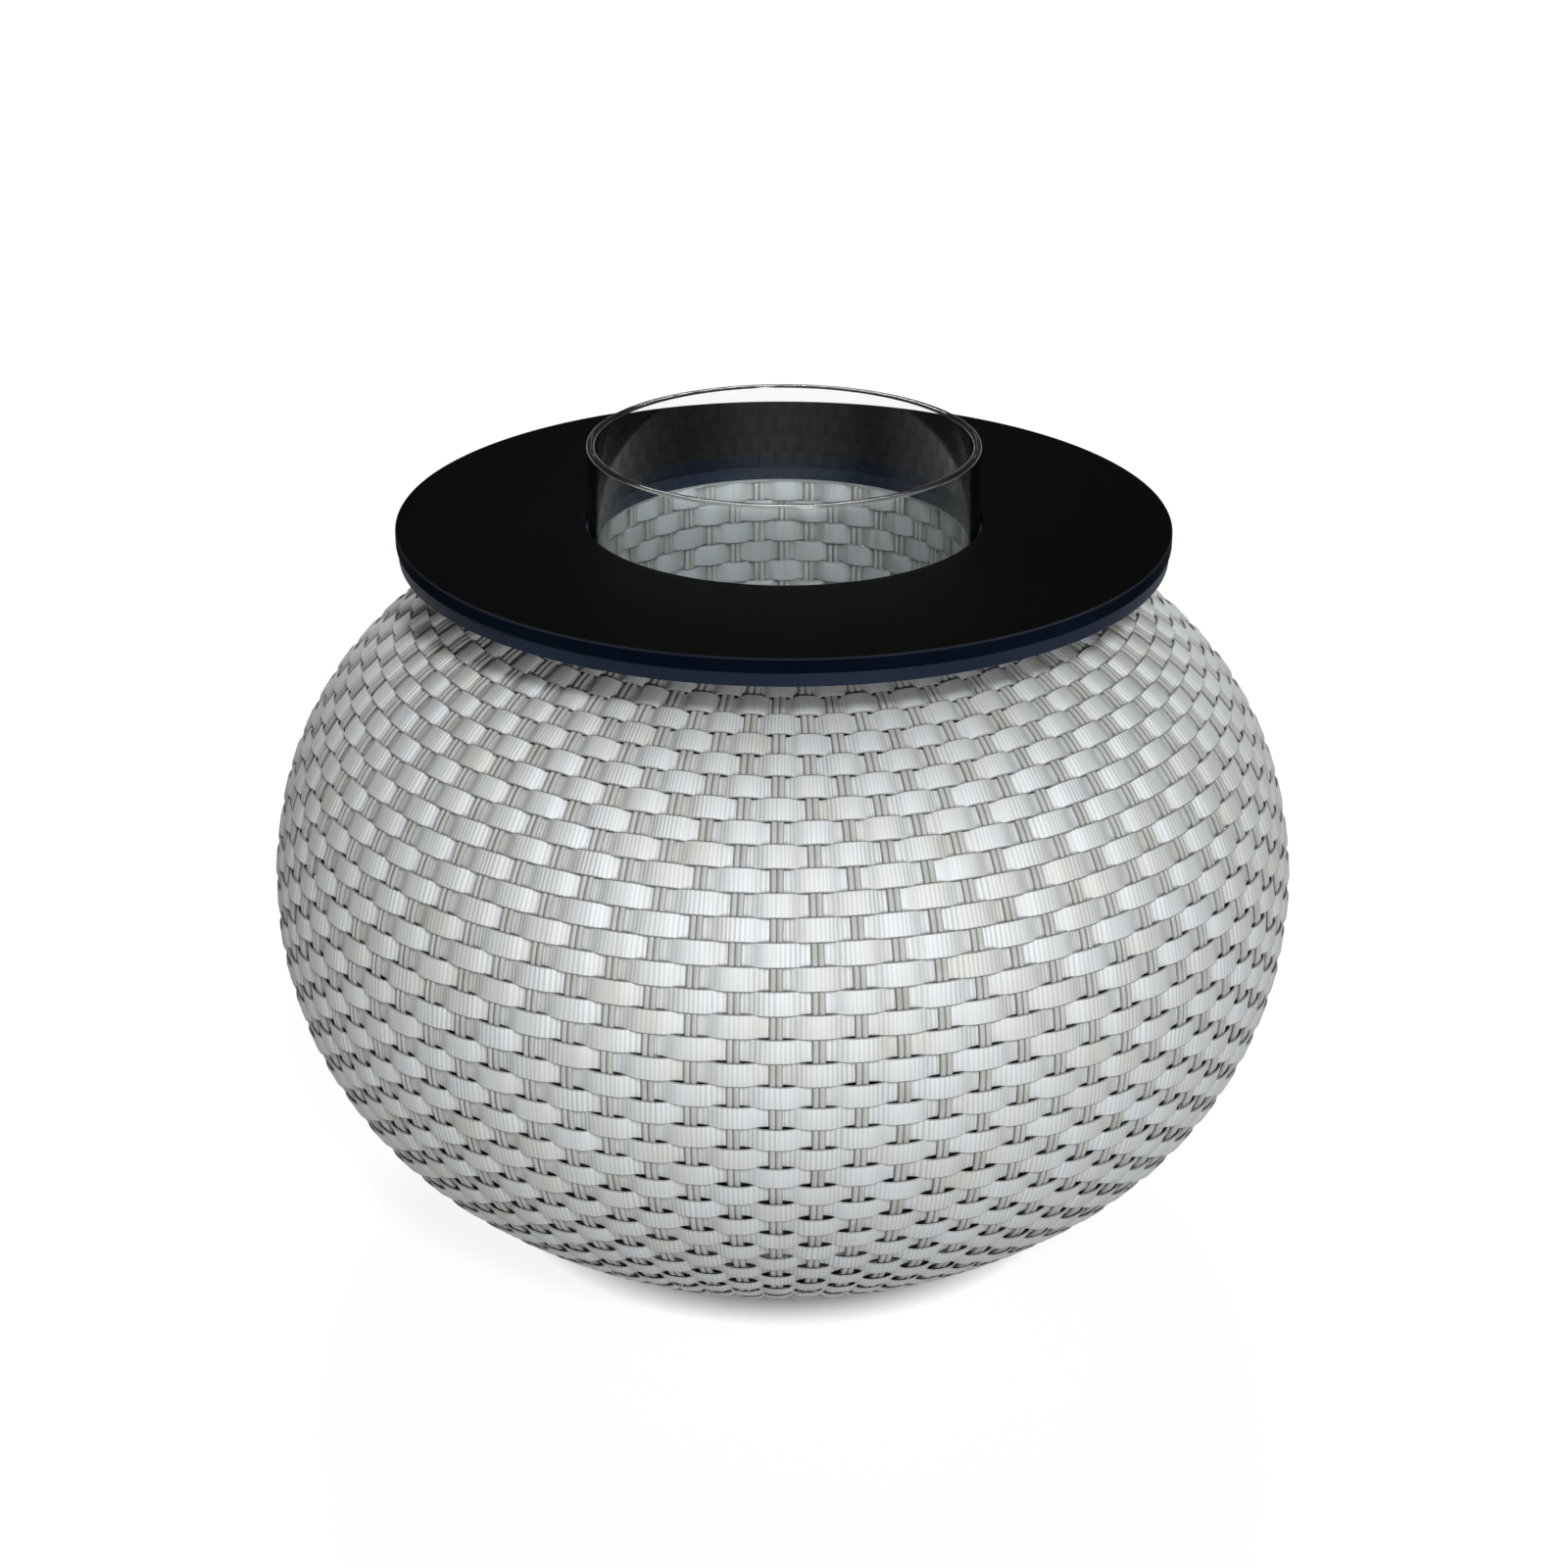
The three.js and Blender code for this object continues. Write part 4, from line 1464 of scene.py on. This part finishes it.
        low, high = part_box("glide_1")
        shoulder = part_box("woven_body")[0].z - SEAT_GAP
        outline = [
            (0.0, low.z),
            (self.glide_radius, low.z),
            (self.glide_radius, shoulder),
            (self.glide_stem, shoulder),
            (self.glide_stem, high.z),
            (0.0, high.z),
        ]
        mesh = eased("foot_glide", outline, self.glide_ease, 4, 48)
        shop.repeat("foot_glides", mesh, self.glides, shop.rubber, Body.BASE, "glide")


@dataclass(frozen=True)
class Lamp:
    """A soft lamp, far away, that lights everything evenly. Its turn and size are in degrees."""

    name: str
    turn: Angles
    strength: float
    size: float
    colour: Colour

    def hang(self) -> None:
        """Puts the lamp in the scene."""
        data = bpy.data.lights.new(self.name, "SUN")
        data.energy = self.strength
        data.angle = math.radians(self.size)
        data.color = self.colour
        lamp = linked(self.name, data)
        lamp.rotation_euler = [math.radians(angle) for angle in self.turn]


@dataclass(frozen=True)
class Studio:
    """Camera, floor, sky and lamps. Angles are in degrees."""

    image_width: float = 1600.0
    focal_pixels: float = 3260.0
    sensor: float = 36.0
    camera_distance: float = 1.8796
    camera_height: float = 1.125
    camera_side: float = 0.0006
    pitch_down: float = 24.02
    roll: float = 0.176
    view_end: float = 200.0
    floor_size: float = 60.0
    floor_grey: float = 0.22
    floor_glow: float = 0.88
    floor_gloss: float = 0.55
    # Inside this radius the floor loses its glow: a painted contact shadow under the table.
    painted_shadow_radius: float = 0.15
    painted_shadow_fade: float = 0.04
    sky_light: float = 0.045
    sky_warmth: Colour = (1.0, 0.94, 0.82)
    front_gloss: float = 0.72
    back_gloss: float = 0.06
    overhead_gloss: float = 1.0
    overhead_start: float = 0.58

    LAMPS = (
        Lamp("high_key", (50.0, 0.0, 13.0), 1.58, 8.0, (0.98, 0.992, 1.0)),
        Lamp("low_key", (84.0, 0.0, 12.0), 1.4, 12.0, (0.98, 0.992, 1.0)),
        Lamp("side", (78.0, 0.0, -80.0), 0.06, 40.0, (1.0, 0.86, 0.62)),
        Lamp("back", (50.0, 0.0, 182.0), 1.8, 22.0, (1.0, 1.0, 1.0)),
    )

    def build(self) -> None:
        """Makes the whole studio."""
        self.camera()
        self.floor()
        self.sky()
        for lamp in self.LAMPS:
            lamp.hang()

    def camera(self) -> None:
        """Puts the camera where the photograph was taken from."""
        data = bpy.data.cameras.new("camera")
        data.sensor_width = self.sensor
        data.sensor_fit = "HORIZONTAL"
        data.lens = self.sensor * self.focal_pixels / self.image_width
        data.clip_end = self.view_end
        camera = linked("camera", data)
        camera.location = (self.camera_side, -self.camera_distance, self.camera_height)
        tilt = Euler((math.radians(90.0 - self.pitch_down), 0.0, 0.0)).to_matrix()
        turn = Matrix.Rotation(math.radians(self.roll), 3, "Z")
        camera.rotation_euler = (tilt @ turn).to_euler()
        bpy.context.scene.camera = camera

    def floor(self) -> None:
        """Lays a plain pale floor with a painted shadow under the table."""
        half = self.floor_size / 2
        mesh = bpy.data.meshes.new("floor")
        outline = [(-half, -half, 0.0), (half, -half, 0.0), (half, half, 0.0), (-half, half, 0.0)]
        mesh.from_pydata(outline, [], [(0, 1, 2, 3)])
        constants = {
            "Base Color": (self.floor_grey, self.floor_grey, self.floor_grey, 1.0),
            "Emission Color": (1.0, 1.0, 1.0, 1.0),
            "Roughness": 0.9,
            "Specular IOR Level": 0.0,
        }
        paint = Finish("floor_paint", constants)
        x, y, _ = paint.parts(paint.place())
        # The glow fades out towards the middle, which paints a shadow under the table.
        outside = ((x * x + y * y).sqrt() - self.painted_shadow_radius) / self.painted_shadow_fade
        outside = outside.math("MAXIMUM", 0.0).math("MINIMUM", 1.0)
        glow = self.seen(paint, self.floor_gloss) * outside * self.floor_glow
        paint.feed(paint.shader.inputs["Emission Strength"], glow)
        mesh.materials.append(paint.material)
        linked("floor", mesh)

    @staticmethod
    def seen(graph: Graph, gloss: object) -> Field:
        """Finds how much of the white background a ray sees.

        Args:
            graph: the node tree of the background.
            gloss: the share that gloss sees.

        Returns:
            1 for the camera, straight or through glass, the share for gloss, and 0 for what lights the table.
        """
        path = graph.tree.nodes.new("ShaderNodeLightPath")
        clear = Field(graph, path.outputs["Is Camera Ray"])
        clear = clear.math("MAXIMUM", Field(graph, path.outputs["Is Transmission Ray"]))
        return clear.math("MAXIMUM", Field(graph, path.outputs["Is Glossy Ray"]) * gloss)

    def sky(self) -> None:
        """Makes a plain sky, white to the camera and in glass, soft in gloss and dim as a light."""
        world = bpy.data.worlds.new("sky")
        bpy.context.scene.world = world
        world.use_nodes = True
        sky = Graph(world.node_tree)
        background = world.node_tree.nodes["Background"]
        _, away, up = sky.parts(sky.add("ShaderNodeTexCoord", None, None, "Generated"))
        front = (0.5 - away * 0.5).math("POWER", 2.0) * (self.front_gloss - self.back_gloss)
        overhead = ((up - self.overhead_start) / (1.0 - self.overhead_start)).math("MAXIMUM", 0.0)
        gloss = (front + overhead.sqrt() * self.overhead_gloss + self.back_gloss).math("MINIMUM", 1.0)
        seen = self.seen(sky, gloss)
        light = [seen * (1.0 - part * self.sky_light) + part * self.sky_light for part in self.sky_warmth]
        sky.feed(background.inputs["Color"], sky.vector(*light))


def dress_cad_nodes(frame: dict[str, object], shop: Workshop) -> None:
    """Gives the CAD nodes that stay in sight their finishes."""
    for name, node in frame["nodes"].items():
        if node.hide_render:
            continue
        surface = shop.navy if name.startswith("top_spoke") else shop.aluminium
        node.data.materials.clear()
        node.data.materials.append(surface.material)
        log.info("%s: kept from the frame", name)


def corners(bounds: tuple[object, object]) -> list[list[float]]:
    """Returns a box as plain lists of numbers."""
    return [[float(value) for value in corner] for corner in bounds]


def main() -> None:
    """Builds the table round its frame."""
    logging.basicConfig(level=logging.INFO, format="%(message)s")
    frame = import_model()
    bpy.context.scene.view_settings.view_transform = "Standard"
    Studio().build()
    shop = Workshop()
    WovenSkins().build(shop)
    LiftingTop().build(shop)
    GlassBucket().build(shop)
    Frame().build(shop)
    dress_cad_nodes(frame, shop)


if __name__ == "__main__":
    main()
